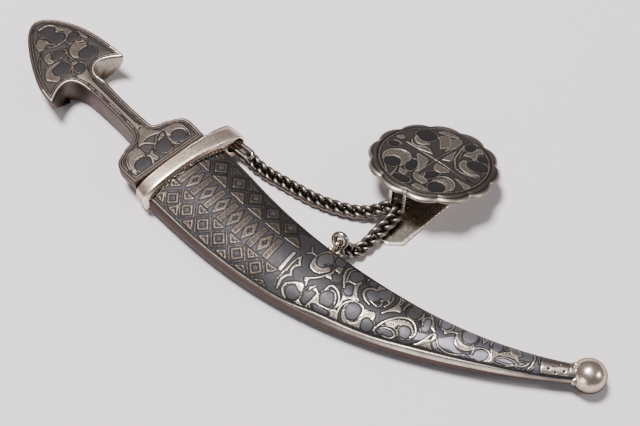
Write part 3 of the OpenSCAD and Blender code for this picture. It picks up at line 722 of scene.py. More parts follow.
def sheath_ring(s, skin):
    """Across and height of one ring: the engraved top from the chain's side over, then the walls and back."""
    half, back = float(smooth(SHEATH, s, 1)) - skin, float(smooth(SHEATH, s, 2)) + skin
    edge, crown, dome = (float(smooth(SHEATH, s, k)) for k in (3, 4, 5))
    ridge, tall = half - float(smooth(RIDGE, s, 1)), edge - back
    top_v = ridge * np.linspace(1, -1, TOP_POINTS)
    top_z = edge + (crown - skin - edge) * (1 - (top_v / half)**2)**(dome / 2)
    wall = spline([
        (ridge, top_z[0]), (ridge + 0.3 * (half - ridge) + 0.03, top_z[0] - 0.1), (half - 0.03, edge - 0.25 * tall),
        (half, edge - 0.45 * tall), (half - 0.05, back + 0.3 * tall), (half - 0.14 * tall, back + 0.1 * tall),
        (half * 0.86, back + 0.02 * tall), (half * 0.5, back), (0, back)], 0.02)
    along = np.concatenate([[0], np.cumsum(np.hypot(*np.diff(wall, axis=0).T))])
    share = np.linspace(0, 1, SIDE_POINTS + BACK_POINTS + 1)[1:]
    spots = np.interp(share, (0, 0.55, 1), (0, 0.341, 1)) * along[-1]
    v, z = (np.interp(spots, along, wall[:, k]) for k in (0, 1))
    round_v, round_z = section(s, -share * math.pi / 2, skin)
    rounding = float(ramp(s, 48, 57))
    v, z = v + (round_v - v) * rounding, z + (round_z - z) * rounding
    return np.concatenate([top_v, -v, v[-2::-1]]), np.concatenate([top_z, z, z[-2::-1]])


def diamond(s, v, half, tall):
    """The corners of a lozenge round a place."""
    return [(s - half, v), (s, v + tall), (s + half, v), (s, v - tall)]


def panel(work):
    """The upper half: strips of framed lozenges along both edges and a plain hatched pattern between."""
    def framed(corners, width, tone):
        """Draws a thin frame from corner to corner."""
        for start, end in zip(corners, corners[1:] + corners[:1]):
            work.stroke([start, end], width, tone=tone)

    def lozenge(s, v, half, heart):
        """Draws a framed lozenge with a dark heart."""
        framed(diamond(s, v, half + 0.4, half + 0.4), 0.08, 0.35)
        work.area(diamond(s, v, half, half), "patch")
        work.area(diamond(s, v, heart, heart), "dark")

    def triangle(s, base, tip, half):
        """Draws a framed triangle with four dark dots."""
        corners = [(s - half, base), (s + half, base), (s, tip)]
        work.area(corners, "patch")
        framed(corners, 0.1, 0.9)
        for shift, up in ((-0.45, 0.25), (-0.15, 0.45), (0.15, 0.45), (0.45, 0.25)):
            work.leaf((s + shift * half, base + (tip - base) * up), (0.1, 0.15), 0, ring=False)

    for s, v in ((4.7, -4.05), (7.45, -3.85), (10.55, -3.75), (13.5, -3.65), (16.6, -3.6), (19.65, -3.55)):
        lozenge(s, v, 1.0, 0.64)
    for s in (3.15, 6, 9, 12, 15, 18.1, 21.2):
        triangle(s, -2.15, -3.15, 0.9)
        triangle(s + 0.1, float(-smooth(PANEL_REACH, s, 1)), -4.25, 0.85)
    for s, v in ((5.35, 3.8), (8.9, 3.95), (12.35, 4.05), (15.8, 4), (19.2, 3.9)):
        lozenge(s, v, 1.1, 0.72)
    for s in (3.5, 7.1, 10.7, 14.15, 17.6, 21):
        triangle(s, 2.05, 3.4, 1.35)
        triangle(s, min(float(smooth(PANEL_REACH, s, 1)), 5.4), 4.5, 0.95)
    # Hatched bars along the middle, with a lozenge between each two
    for k in range(7):
        s = 3 + 2.72 * k
        work.area([(s, -1.85), (s, 1.5), (s + 0.8, 1.5), (s + 0.8, -1.85)], "patch")
        for across in (0.22, 0.42, 0.62):
            work.stroke([(s + across, -1.75), (s + across, 1.4)], 0.07, dark=True)
        if k < 6:
            work.area(diamond(s + 1.76, -0.15, 0.78, 1.65), "patch")
            work.area(diamond(s + 1.76, -0.15, 0.3, 0.6), "dark")
    work.tone *= 0.08
    work.draw(PANEL_END)


def sheath():
    """The scabbard's curved sheath, engraved on its face and hollow for the blade."""
    # Distances from the mouth of the rings inside and outside, which are close together on the engraved stretches
    start = SEAT_GAP + 0.1
    outer = np.concatenate([np.linspace(start, 1.9, 5)[:-1], np.linspace(1.9, 24, 192)[:-1],
                            np.linspace(24, 56.6, 318)[:-1], np.linspace(56.6, 61.3, 58)])
    inner = np.linspace(48, start, 13)
    rings = []
    for s, skin in [(s, WALL) for s in inner] + [(s, 0.0) for s in outer]:
        v, z = sheath_ring(s, skin)
        rings.append(np.stack([np.full_like(v, s), v, z], -1))
    rings = np.array(rings)
    flat, columns = rings.reshape(-1, 3), rings.shape[1]
    on_top = np.tile(np.arange(columns) < TOP_POINTS, len(rings))
    on_top[:len(inner) * columns] = False
    face = np.flatnonzero(on_top)
    work = Engraving(flat[face, :2])
    panel(work)
    work.draw(SCROLL)
    s, v = flat[face, 0], flat[face, 1]
    # Duller towards the mouth; then the polished rim, with a painted highlight that makes it brightest at the middle
    # of the sheath
    work.tone *= (0.68 + 0.32 * ramp(s, 36, 46)) * (0.5 + 0.5 * ramp(s, 23.5, 26))
    work.cut[s > 24] -= 0.02
    half = smooth(SHEATH, s, 1) - smooth(RIDGE, s, 1)
    width = smooth(RIDGE, s, 2)
    rim = np.abs(v) - (half - np.where(v < 0, width, 0.1))
    work.cut = np.minimum(work.cut, -rim - 0.3)
    tone = 0.1 + 0.3 * ramp(s, 29, 34) + 0.6 * ramp(s, 34, 40) - 0.65 * ramp(s, 50, 57)
    work.silver(np.arange(len(s)), rim, tone=tone[rim > EDGE])
    # Painted sheen on the field towards the tip, pale colour standing in for reflected light
    work.sheen = np.maximum(work.sheen, 0.14 * ramp(s, 40, 46) * (1 - work.inlay))
    # The relief, the rounded bead of the lower rim, and the pits
    height = flat[:, 2].copy()
    height[face] += work.relief() * ramp(half - np.abs(v), 0, 0.25)
    bead = np.sin(math.pi * np.clip(rim / width, 0, 1)) * (v < 0)
    height[face] += 0.16 * bead * ramp(s, 28, 36) * (1 - ramp(s, 50, 56))
    for pit_s, pit_v in PITS:
        height[face] -= 0.07 * np.exp(-((s - pit_s)**2 + (v - pit_v)**2) / 0.012)
    piece = loft("sheath", on_scabbard(flat[:, 0], flat[:, 1], height).reshape(rings.shape))
    full = Engraving(flat[:, :2], 1.0, 0.0)
    full.take(face, work)
    engrave(piece, full, flat[:, :2])
    return piece


def band_run(v):
    """The mouth band's length at a place across it."""
    return BAND_RUN + EAR_RUN * np.maximum(v, 0) / EAR_END


def band_outline(share, depth, angle):
    """A point of the mouth band's outer skin, which runs longer towards its ear."""
    c, up = np.cos(angle), np.sin(angle)
    power = np.where(up >= 0, np.where(c > 0, 2 / 2.05, 2 / 2.8), 2 / 5)
    v = BAND_MIDDLE + (BAND_HALF - depth) * np.sign(c) * np.abs(c)**power
    z = BAND_HEIGHT + (BAND_HEIGHT - depth) * np.sign(up) * np.abs(up)**power
    return SEAT_GAP + share * band_run(v), v, z


def mouth_band():
    """The polished band round the mouth, with its hollow ear."""
    angle = np.linspace(0, 2 * math.pi, 128, endpoint=False) + 0.002
    back_v, back_z = section(2.5, angle, 0.15)
    rings = [on_scabbard(SEAT_GAP + 0.02, *section(0.4, angle, 0.15))]
    rings += [on_scabbard(*band_outline(share, depth, angle)) for share, depth in BAND_PROFILE]
    rings.append(on_scabbard(2.5 + 0.5 * np.maximum(back_v, 0) / EAR_END, back_v, back_z))
    columns, last = len(angle), (len(rings) - 1) * len(angle)
    faces = strip_faces(len(rings), columns)
    faces += [(last + j, last + (j + 1) % columns, (j + 1) % columns, j) for j in range(columns)]
    piece = made("mouth_band", np.array(rings).reshape(-1, 3), faces)
    hole = started("ear_hole", bpy.ops.mesh.primitive_cylinder_add, vertices=48, radius=EAR_HOLE * MM,
                   depth=4 * MM)
    turn = float(heading(0))
    moved(hole, shift_to(2.75, POST_AT[1], 2.5) @ Matrix.Rotation(turn, 4, "Z") @ Matrix.Rotation(math.pi / 2, 4, "Y"))
    modified(piece, "BOOLEAN", object=hole, operation="DIFFERENCE", solver="EXACT")
    bpy.data.objects.remove(hole)
    modified(piece, "BEVEL", width=0.07 * MM, segments=2, limit_method="ANGLE", angle_limit=math.radians(78))
    settle(piece, 60)
    points = points_of(piece)
    flat = points[:, :2] - MOUTH
    s, v = flat @ [math.cos(turn), math.sin(turn)], flat @ [-math.sin(turn), math.cos(turn)]
    share = (s - SEAT_GAP) / band_run(v)
    # Painted highlight: the outer skin near the band's edge towards the sheath gets a bright second colour
    outer = ((v - BAND_MIDDLE) / BAND_HALF)**2 + ((points[:, 2] - BAND_HEIGHT) / BAND_HEIGHT)**2 > 0.93
    rubbed(piece, 1 - outer * ramp(share, 0.9, 0.99) * (1 - ramp(share, 1.08, 1.12)))
    return piece


def crumbs():
    """The solder that shows as a bright uneven line between the band and the sheath."""
    rng = np.random.default_rng(4)
    _, half, _, edge, crown = SHEATH[0][:5]
    pieces = []
    for v in np.linspace(-6.2, 6.3, 64) + rng.uniform(-0.15, 0.15, 64):
        top = edge + (crown - edge) * (1 - min(abs(v) / half, 0.97)**2)
        s = SEAT_GAP + 1.18 * band_run(v) + rng.uniform(-0.08, 0.12)
        r = rng.uniform(0.07, 0.15)
        pieces.append(ball("crumb", on_scabbard(s, v, top + rng.uniform(0.08, 0.3)).tolist(), r, 0.03,
                           int(rng.integers(1000)), (1, rng.uniform(1.8, 3.6), 0.9), detail=10))
    return joined("band_solder", pieces)


def lumps(piece, strength, size, seed):
    """Makes a cast or soldered surface slightly uneven."""
    points = points_of(piece)
    normals = np.array([tuple(point.normal) for point in piece.data.vertices])
    rng = np.random.default_rng(seed)
    waves = rng.normal(size=(14, 3)) * 2 * math.pi / size
    phase = rng.uniform(0, 2 * math.pi, 14)
    height = np.sin(points @ waves.T + phase).mean(1) * strength * 2.2
    piece.data.vertices.foreach_set("co", ((points + normals * height[:, None]) * MM).ravel())
    piece.data.update()
    return piece


def ball(name, centre, radius, strength, seed, flatten=(1, 1, 1), *, detail):
    """A slightly uneven ball, flattened or drawn out where flatten says so."""
    piece = started(name, bpy.ops.mesh.primitive_uv_sphere_add, segments=detail, ring_count=detail // 2,
                    radius=radius * MM)
    moved(piece, Matrix.Translation(centre) @ Matrix.Diagonal((*flatten, 1)))
    return settle(lumps(piece, strength, radius * 1.6, seed), 180)


def tip_ball():
    """The ball at the tip, with the solder that holds it."""
    end, middle = BALL_AT
    pieces = [ball("tip_ball", on_scabbard(end, 0, middle).tolist(), BALL_RADIUS, 0.02, 3, detail=64)]
    rng = np.random.default_rng(11)
    for k in range(26):
        angle = math.radians(-210 + 12 * k) + rng.uniform(-0.1, 0.1)
        s = 60.72 + rng.uniform(-0.25, 0.12)
        spot = on_scabbard(s, 1.25 * math.cos(angle), middle + 1.12 * math.sin(angle)).tolist()
        pieces.append(ball("solder", spot, rng.uniform(0.14, 0.32), 0.07, 20 + k, (1.4, 1, 1), detail=12))
    piece = joined("tip_ball", pieces)
    # Painted shade: the ball and its solder get a darker second colour below their middle
    rubbed(piece, ramp(points_of(piece)[:, 2], 1.6, 3.5))
    return piece


def wire_loop(name, ring_r, wire_r, run=0.0, segments=48):
    """A wire ring, drawn out along x where run is given."""
    piece = started(name, bpy.ops.mesh.primitive_torus_add, major_radius=ring_r * MM, minor_radius=wire_r * MM,
                    major_segments=segments, minor_segments=14)
    for vertex in piece.data.vertices:
        if run and vertex.co.x > -1e-7:
            vertex.co.x += run * MM
    return piece


def eye():
    """The eye on the scabbard's edge, with its solder."""
    half = float(smooth(SHEATH, EYE_AT, 1))
    turn = Matrix.Rotation(float(heading(EYE_AT)), 4, "Z")
    ring = wire_loop("eye", *EYE_RING)
    moved(ring, shift_to(EYE_AT, half + 0.75, 3.1) @ turn @ Matrix.Rotation(math.pi / 2, 4, "Y"))
    pieces = [settle(lumps(ring, 0.015, 1, 5), 180)]
    for k, (s, v, z, r) in enumerate(EYE_SOLDER):
        lump = ball("solder", (0, 0, 0), r, 0.05, 40 + k, (1.4, 0.9, 1), detail=16)
        pieces.append(moved(lump, shift_to(EYE_AT + s, half + v, z) @ turn))
    return joined("eye", pieces)


def ear_post():
    """The post across the band's ear."""
    post = started("ear_post", bpy.ops.mesh.primitive_cylinder_add, vertices=24, radius=POST_RADIUS * MM,
                   depth=3 * MM)
    moved(post, shift_to(*POST_AT, 2.475))
    modified(post, "BEVEL", width=0.05 * MM, segments=2, limit_method="ANGLE", angle_limit=math.radians(50))
    return settle(post)


# Hilt

def hilt_outline():
    """The hilt's outline, anticlockwise from the pommel's point, and which points lie on the pommel's sides."""
    half = np.vstack([bezier(p, n) for p, n in HILT_PARTS])
    pommel = np.arange(len(half)) < HILT_PARTS[0][1]
    end = np.stack([np.full(30, HILT_LENGTH), np.linspace(-HILT_HALF, HILT_HALF, 32)[1:-1]], -1)
    outline = np.vstack([[[0, 0]], half * [1, -1], end, half[::-1]])
    t, w = outline.T
    outline[:, 1] += 0.6 * (1 - ramp(t, 3, 12.5)) + 0.42 * (w > 0) * ramp(t, 13.5, 16) * (1 - ramp(t, 25, 28))
    return outline, np.concatenate([[True], pommel, np.zeros(len(end), bool), pommel[::-1]])


def inset(outline, distance):
    """A closed anticlockwise outline moved inwards."""
    along = np.roll(outline, -1, 0) - np.roll(outline, 1, 0)
    along /= np.maximum(np.hypot(*along.T), 1e-9)[:, None]
    return outline + distance * np.stack([-along[:, 1], along[:, 0]], -1)


def hilt_wall(outline, pommel, height):
    """The outline at a height up the hilt, drawn in where the back is rounded."""
    t, w = outline.T
    side = bezier(HILT_PARTS[0][0], 200)
    limit = np.where(t < POMMEL_END, np.interp(t, side[:, 0], side[:, 1]),
                     np.interp(t, [POMMEL_END, 32.6], [6.3, 5.95]))
    wide = min(float(smooth(HILT_ENVELOPE, height, 1)), 1)
    drawn = max(float(smooth(HILT_ENVELOPE, height, 2)), 0)
    held = w * (1 - (1 - wide) * np.clip(np.abs(w) / limit, 0, 1)**2)
    barb = (1 - height)**2 * ramp(np.abs(w), 2, 5.5) * ramp(t, 8, 13) * (1 - ramp(t, 16, 22))
    along = np.where(pommel, t + drawn * np.maximum(1 - t / 13, 0), t) - 1.5 * barb
    return np.stack([along, np.where(pommel, wide * w, held) * (1 - 0.3 * barb)], -1)


def hilt():
    """Pommel, grip and shoulders, engraved on the face and plain on the walls and back."""
    outline, pommel = hilt_outline()
    n, step = len(outline), 0.105
    # The face: a fine grid inside its edge, joined up with it
    face_edge = inset(outline, 0.2)
    grid = np.stack(np.meshgrid(np.arange(0, HILT_LENGTH, step), np.arange(-6.4, 6.4, step), indexing="ij"), -1)
    grid = grid.reshape(-1, 2)
    grid = grid[inside(grid, face_edge)]
    grid = grid[edge_distance(grid, face_edge, True)[0] > 0.07]
    given = [Vector(p) for p in np.vstack([face_edge, grid])]
    flat, _, faces, origins, _, _ = delaunay_2d_cdt(given, [], [list(range(n))], 1, 1e-6)
    flat = np.array([tuple(p) for p in flat])
    face_of = {origin[0]: k for k, origin in enumerate(origins) if origin}
    depth = edge_distance(flat, outline, True)[0]
    work = Engraving(flat)
    work.draw(HILT_FACE)
    t, w = flat.T
    spots = np.arange(len(flat))
    # A thin line and a plain rim round the face, worn bright under the pommel's barbs
    work.cut = np.minimum(work.cut, depth - 0.82)
    border = 0.07 - np.abs(depth - 0.62)
    work.silver(spots, border, tone=(0.45 - 0.35 * ramp(t, 23, 26))[border > EDGE])
    work.silver(spots, 0.4 - depth, tone=0.12)
    work.tone *= 0.03 + 0.06 * ramp(t, 14, 29)
    work.tone[(t > 11.2) & (t < 16) & (np.abs(w) > 1) & (depth < 0.42)] = 0.6
    work.swell *= 0.3
    dome = 0.1 * ramp(depth, 0, 1.6) - 0.1
    top = np.column_stack([flat, HILT_THICK + dome + work.relief()])
    rings = [(inset(outline, i), HILT_THICK + z) for i, z in ((0.08, -0.14), (0.02, -0.22), (0, -0.34))]
    for share in (0.86, 0.78, 0.7, 0.6, 0.5, 0.4, 0.3, 0.21, 0.13, 0.07, 0.03):
        rings.append((hilt_wall(outline, pommel, share), HILT_THICK * share))
    last = hilt_wall(outline, pommel, 0.0)
    rings.append((last + (np.array([16, 0]) - last) * [0.002, 0.02], 0.0))
    points = np.vstack([top] + [np.column_stack([ring, np.full(n, z)]) for ring, z in rings])
    # The face's triangles turned outwards, its seam to the walls, the walls, and the back
    a, b, c = flat[list(faces[0][:3])]
    way = -1 if np.cross(b - a, c - a) < 0 else 1
    all_faces = [tuple(face[::way]) for face in faces]
    rim, first = [face_of[k] for k in range(n)], len(top)
    all_faces += [(rim[j], first + j, first + (j + 1) % n, rim[(j + 1) % n]) for j in range(n)]
    all_faces += [face[::-1] for face in strip_faces(len(rings), n, first)]
    all_faces.append(tuple(reversed(range(len(points) - n, len(points)))))
    c, s = math.cos(HILT_TURN), math.sin(HILT_TURN)
    x, y, z = points.T
    start = on_scabbard(-HILT_LENGTH, -0.65, 0.25)
    placed = np.column_stack([start[0] + x * c - y * s, start[1] + x * s + y * c, start[2] + z])
    piece = made("hilt_body", placed, all_faces, hard=62)
    walls = np.where((x > 10.5) & (x < 16.5) & (y > 0.5) & (y < 6.6), 0.55, 0.08)
    work.tone = np.concatenate([work.tone, walls[first:]])
    engrave(piece, work, flat)
    return piece


# Blade

def blade():
    """The double-edged blade, with a ridge along the middle of each side and a tang."""
    x, y = BLADE_CENTRE
    base = math.atan2(MOUTH[1] - y, MOUTH[0] - x) + 0.35 / BLADE_RADIUS
    loop = BLADE_SIDE + [(v, -z) for v, z in reversed(BLADE_SIDE)]
    rings = []
    for share in np.linspace(0, 1, 60):
        wide, thick = BLADE_HALF * float(smooth(BLADE_TAPER, share, 1)), float(smooth(BLADE_TAPER, share, 2))
        turn = base + share * BLADE_LENGTH / BLADE_RADIUS
        rings.append([(x + (BLADE_RADIUS - v * wide) * math.cos(turn), y + (BLADE_RADIUS - v * wide) * math.sin(turn),
                       BLADE_HEIGHT + z * thick) for v, z in loop])
    body = loft("blade", rings, hard=20)
    tang = started("tang", bpy.ops.mesh.primitive_cube_add, size=MM, scale=(5.4, 3, 1))
    bpy.ops.object.transform_apply(location=False, rotation=False, scale=True)
    modified(tang, "BEVEL", width=0.1 * MM, segments=2)
    moved(tang, shift_to(-1.6, 0, BLADE_HEIGHT) @ Matrix.Rotation(HILT_TURN, 4, "Z"))
    return joined("steel_blade", [body, settle(tang)])


# Wire, chains

def long_link():
    """The long link that hangs on the ear's post."""
    piece = wire_loop("long_link", *LONG_LINK, run=LONG_RUN, segments=40)
    moved(piece, shift_to(*POST_AT, 2.35) @ Matrix.Rotation(math.radians(14), 4, "Y"))
    return settle(lumps(piece, 0.012, 0.8, 7), 180)


def open_ring():
    """The open jump ring that stands up out of the eye, its wire thinner at its two ends."""
    (radius, thick), sides, steps = JUMP_RING, 14, 40
    path = np.radians(297 + np.linspace(0, 346, steps))
    around = -np.linspace(0, 2 * math.pi, sides, endpoint=False)
    wire = np.full(steps, thick)
    wire[[0, -1]], wire[[1, -2]] = 0.28, 0.38
    rings = [[((radius + r * math.cos(a)) * math.cos(p), radius + (radius + r * math.cos(a)) * math.sin(p),
               r * math.sin(a)) for a in around] for p, r in zip(path, wire)]
    piece = loft("jump_ring_wire", rings)
    turn = Matrix.Rotation(float(heading(EYE_AT)), 4, "Z") @ Matrix.Rotation(math.radians(58), 4, "X")
    moved(piece, shift_to(EYE_AT, float(smooth(SHEATH, EYE_AT, 1)) + 0.85, 3.1) @ turn)
    return settle(lumps(piece, 0.01, 1.2, 9), 180)


def curb_link():
    """One curb link: an oval wire ring twisted so that it lies flat through its neighbours."""
    piece = started("link", bpy.ops.mesh.primitive_torus_add, major_radius=MM, minor_radius=LINK_WIRE * MM,
                    major_segments=28, minor_segments=10)
    long, wide, twist = LINK
    for vertex in piece.data.vertices:
        x, y, z = vertex.co / MM
        turn = math.atan2(y, x)
        along = Vector((-long * math.sin(turn), wide * math.cos(turn), 2 * twist * math.cos(2 * turn))).normalized()
        out = Vector((math.cos(turn) / long, math.sin(turn) / wide, 0))
        out = (out - along * out.dot(along)).normalized()
        spot = Vector((long * math.cos(turn), wide * math.sin(turn), twist * math.sin(2 * turn)))
        vertex.co = (spot + out * (math.hypot(x, y) - 1) + along.cross(out) * -z) * MM
    rubbed(piece, ramp(np.hypot(*points_of(piece)[:, 1:].T), 0.35, 0.85))
    return piece


def chain(name, route, pitch, roll, seed):
    """A curb chain along its route, from one modelled link."""
    path = spline(route, 0.02)
    along = np.concatenate([[0], np.cumsum(np.linalg.norm(np.diff(path, axis=0), axis=1))])
    count = int(round(along[-1] / pitch))
    spots = np.linspace(0, along[-1], count + 1)
    first = curb_link()
    rng = np.random.default_rng(seed)
    links = []
    for k, spot in enumerate(spots):
        centre = Vector([np.interp(spot, along, path[:, i]) for i in range(3)])
        ahead, behind = (Vector([np.interp(spot + d, along, path[:, i]) for i in range(3)]) for d in (0.3, -0.3))
        x = (ahead - behind).normalized()
        y = Vector((0, 0, 1)).cross(x).normalized()
        turn = math.radians(np.interp(k / count, [0, 0.5, 1], roll) + rng.uniform(-7, 7))
        y = Matrix.Rotation(turn, 3, x) @ y
        place = Matrix((x, y, x.cross(y))).transposed().to_4x4()
        copy = first.copy()
        copy.data = first.data.copy()
        bpy.context.scene.collection.objects.link(copy)
        moved(copy, Matrix.Translation(centre) @ place)
        links.append(copy)
    bpy.data.objects.remove(first)
    return settle(joined(name, links), 180)


# Rosette

def rosette():
    """The disc with its engraved face and turned-down lobed rim."""
    columns = LOBES * 34
    angle = np.linspace(0, 2 * math.pi, columns, endpoint=False)
    circle = np.stack([np.cos(angle), np.sin(angle)], -1)
    wave = np.abs(np.cos((angle - math.radians(19)) * LOBES / 2))
    lobe, valley = LOBE_DEPTH * (1 - wave**0.7), (1 - wave)**3
    flat = [r * circle for r in np.concatenate([[0.06], np.linspace(0.15, FACE_RADIUS, 80)])]
    heights = [np.zeros(columns) for _ in flat]
    face = np.arange(len(flat) * columns)
    for r, share, z, low in ROSETTE_RIM:
        flat.append((r - share * lobe)[:, None] * circle)
        heights.append(z - 0.16 * low * valley)
    rings = len(flat)
    flat, heights = np.array(flat).reshape(-1, 2), np.array(heights).reshape(-1)
    work = Engraving(flat[face])
    work.draw(ROSETTE_FACE)
    reach = np.hypot(*flat[face].T)
    work.cut = np.minimum(work.cut, 7.3 - reach)
    work.silver(face, 0.05 - np.abs(reach - 7.44), tone=0.5)
    work.tone *= 0.9
    work.swell *= 0.3
    heights[face] += work.relief()
    # Off the face: a dark groove round it, thin lines on the slope of the lobes, and their rubbed edge
    full = Engraving(flat, 1.0, 0.06)
    full.take(face, work)
    for row in range(len(ROSETTE_RIM)):
        spots = slice(len(face) + row * columns, len(face) + (row + 1) * columns)
        full.cut[spots] = -0.12 if row < 4 else {6: 0.09, 7: -0.1, 8: 0.09}.get(row, 1)
        full.tone[spots] = 0.45 if 9 <= row < 15 else 1 if row >= 16 else 0.06
    placed = np.column_stack([flat, heights]) @ np.array(ROSETTE_TILT).T + ROSETTE_AT
    piece = loft("rosette_disc", placed.reshape(rings, columns, 3)[::-1])
    for name in LAYERS:
        setattr(full, name, getattr(full, name).reshape(rings, columns)[::-1].ravel())
    engrave(piece, full, flat.reshape(rings, columns, 2)[::-1].reshape(-1, 2))
    return piece


def strip(name, path, across, widths, thick, round_off):
    """A sheet strip along a path, from a grid given its thickness and rounded edges."""
    last = len(path) - 1
    piece = started(name, bpy.ops.mesh.primitive_grid_add, x_subdivisions=last, y_subdivisions=24, size=2)
    for vertex in piece.data.vertices:
        k = min(int(round((vertex.co.x + 1) / 2 * last)), last)
        vertex.co = (path[k] + across[k] * (vertex.co.y * widths[k] / 2)) * MM
    piece.data.update()
    modified(piece, "SOLIDIFY", thickness=thick * MM, offset=0, use_even_offset=True)
    modified(piece, "BEVEL", width=round_off * MM, segments=3, limit_method="ANGLE", angle_limit=math.radians(50))
    # Painted highlight along the sheet's edges: points near an edge get a bright second colour
    sides = [[p + a * (w / 2 * side) for p, a, w in zip(path, across, widths)] for side in (-1, 1)]
    border = np.array([tuple(p) for p in sides[0] + sides[1][::-1]])
    rubbed(piece, ramp(edge_distance(points_of(piece), border, True)[0], 0.22, 0.36))
    return settle(piece, 50)


def under_rosette(p, depth):
    """The height at a place that lies depth under the rosette's face."""
    x, y, z = ROSETTE_AT
    return z - (depth + ROSETTE_UP.x * (p.x - x) + ROSETTE_UP.y * (p.y - y)) / ROSETTE_UP.z


def bail():
    """The strip bent into a U that the chains hang on."""
    turn = math.radians(8)
    inward, across = Vector((math.cos(turn), math.sin(turn), 0)), Vector((-math.sin(turn), math.cos(turn), 0))
    r, start = 1.2 - 0.21, 1.7
    middle = Vector((12.4, 2.95, start))

    def leg(foot, shares):
        """Points up one straight leg."""
        rise = under_rosette(foot, 0.35) - start
        return [Vector((foot.x, foot.y, start + rise * share)) for share in shares]

    path = leg(middle - inward * r, np.linspace(1, 0.12, 6))
    path += [middle + inward * (r * math.cos(a)) + Vector((0, 0, r * math.sin(a)))
             for a in np.linspace(math.pi, 2 * math.pi, 17)]
    path += leg(middle + inward * r, np.linspace(0.12, 1, 6))
    return strip("bail", path, [across] * len(path), [1.1] * len(path), 0.42, 0.1)


def spring_clip():
    """The tapered tongue on the surface, its round bend and the leg up the rosette's back."""
    turn = math.radians(93)
    along, over = Vector((math.cos(turn), math.sin(turn), 0)), Vector((math.sin(turn), -math.cos(turn), 0))

    def spot(u, z):
        """A point on the clip's middle line, u along the tongue."""
        return over * CLIP_OVER + along * u + Vector((0, 0, z))

    slope = math.atan(ROSETTE_UP.dot(along) / ROSETTE_UP.z)
    roll = -math.atan(ROSETTE_UP.dot(over) / ROSETTE_UP.z)
    bend = math.pi - slope
    depth, z0 = 0.5 + 0.15 + CLIP_SHEET / 2, 0.255
    rise = under_rosette(spot(CLIP_BEND, 0), depth) - z0
    r = rise / (1 - math.cos(bend) + math.tan(slope) * math.sin(bend))
    path = [spot(u, z0) - over * 0.53 * max(-1.56 - u, 0) for u, _ in TONGUE]
    across, widths = [over] * len(path), [width for _, width in TONGUE]
    for share in np.linspace(0, 1, 22):
        a, lean = bend * share, roll * share
        path.append(spot(CLIP_BEND + r * math.sin(a), z0 + r * (1 - math.cos(a))))
        across.append(over * math.cos(lean) + Vector((0, 0, math.sin(lean))))
        widths.append(9 - 3 * share)
    bent, end = path[-1], spot(7.7, 0)
    path += [bent.lerp(Vector((end.x, end.y, under_rosette(end, depth))), share) for share in (0.5, 1)]
    across += [across[-1]] * 2
    widths += [6] * 2
    piece = strip("clip_sheet", path, across, widths, CLIP_SHEET, 0.19)
    for x, y, size in ((14.7, 1.5, 0.3), (14.0, 0.6, 0.26)):
        for vertex in piece.data.vertices:
            gap = ((vertex.co.x / MM - x)**2 + (vertex.co.y / MM - y)**2) / size**2
            if 0.35 * MM < vertex.co.z < 0.6 * MM:
                vertex.co.z -= 0.08 * MM * math.exp(-gap)
    return piece


# Finishes

# Colours: a pit in the ground, painted sheen on niello, niello's dark grain, the black line beside silver, oxide on
# wire
PIT, PAINTED_SHEEN, GRAIN, BLACK, OXIDE = (
    (0.05, 0.042, 0.036), (0.36, 0.34, 0.4), (0.01, 0.009, 0.01), (0.004, 0.0035, 0.003), (0.06, 0.05, 0.045))


def fed(tree, item, inputs):
    """Gives a node its inputs, as values or as sockets to link."""
    for key, value in inputs.items():
        if isinstance(value, bpy.types.NodeSocket):
            tree.links.new(value, item.inputs[key])
        else:
            item.inputs[key].default_value = value
    return item


def node(tree, kind, inputs=None, **settings):
    """A shader node with its settings and inputs."""
    item = tree.nodes.new(kind)
    for key, value in settings.items():
        setattr(item, key, value)
    return fed(tree, item, inputs or {})


def noise(tree, place, scale, detail, **more):
    """How strong a noise is at a place."""
    inputs = {"Vector": place, "Scale": scale, "Detail": detail, **more}
    return node(tree, "ShaderNodeTexNoise", inputs).outputs["Fac"]


def bump(tree, height, strength, distance):
    """A normal from a height."""
    return node(tree, "ShaderNodeBump", {"Height": height, "Strength": strength, "Distance": distance}).outputs[0]


def maths(tree, operation, a, b, clamp=False):
    """One step of arithmetic with values or sockets."""
    return node(tree, "ShaderNodeMath", {0: a, 1: b}, operation=operation, use_clamp=clamp).outputs[0]


def arithmetic(tree):
    """Adding, subtracting and multiplying in one tree."""
    return (partial(maths, tree, operation) for operation in ("ADD", "SUBTRACT", "MULTIPLY"))


def between(tree, value, low, high, to_low=0.0, to_high=1.0):
    """A smooth step from one value to another."""
    inputs = {"Value": value, "From Min": low, "From Max": high, "To Min": to_low, "To Max": to_high}
    return node(tree, "ShaderNodeMapRange", inputs, interpolation_type="SMOOTHSTEP").outputs["Result"]


def blend(tree, factor, a, b):
    """A mix of two colours, each a socket or three numbers."""
    a, b = (value if isinstance(value, bpy.types.NodeSocket) else (*value, 1) for value in (a, b))
    return node(tree, "ShaderNodeMix", {"Factor": factor, 6: a, 7: b}, data_type="RGBA").outputs[2]


def attribute(tree, name, output="Fac"):
    """What is stored on a piece's points under a name."""
    return node(tree, "ShaderNodeAttribute", attribute_name=name).outputs[output]


def group(name, inputs, outputs):
    """An empty node group with named inputs and outputs."""
    tree = bpy.data.node_groups.new(name, "ShaderNodeTree")
    for label, kind in inputs:
        tree.interface.new_socket(name=label, in_out="INPUT", socket_type=kind)
    for label, kind in outputs:
        tree.interface.new_socket(name=label, in_out="OUTPUT", socket_type=kind)
    return tree, tree.nodes.new("NodeGroupInput").outputs, tree.nodes.new("NodeGroupOutput").inputs


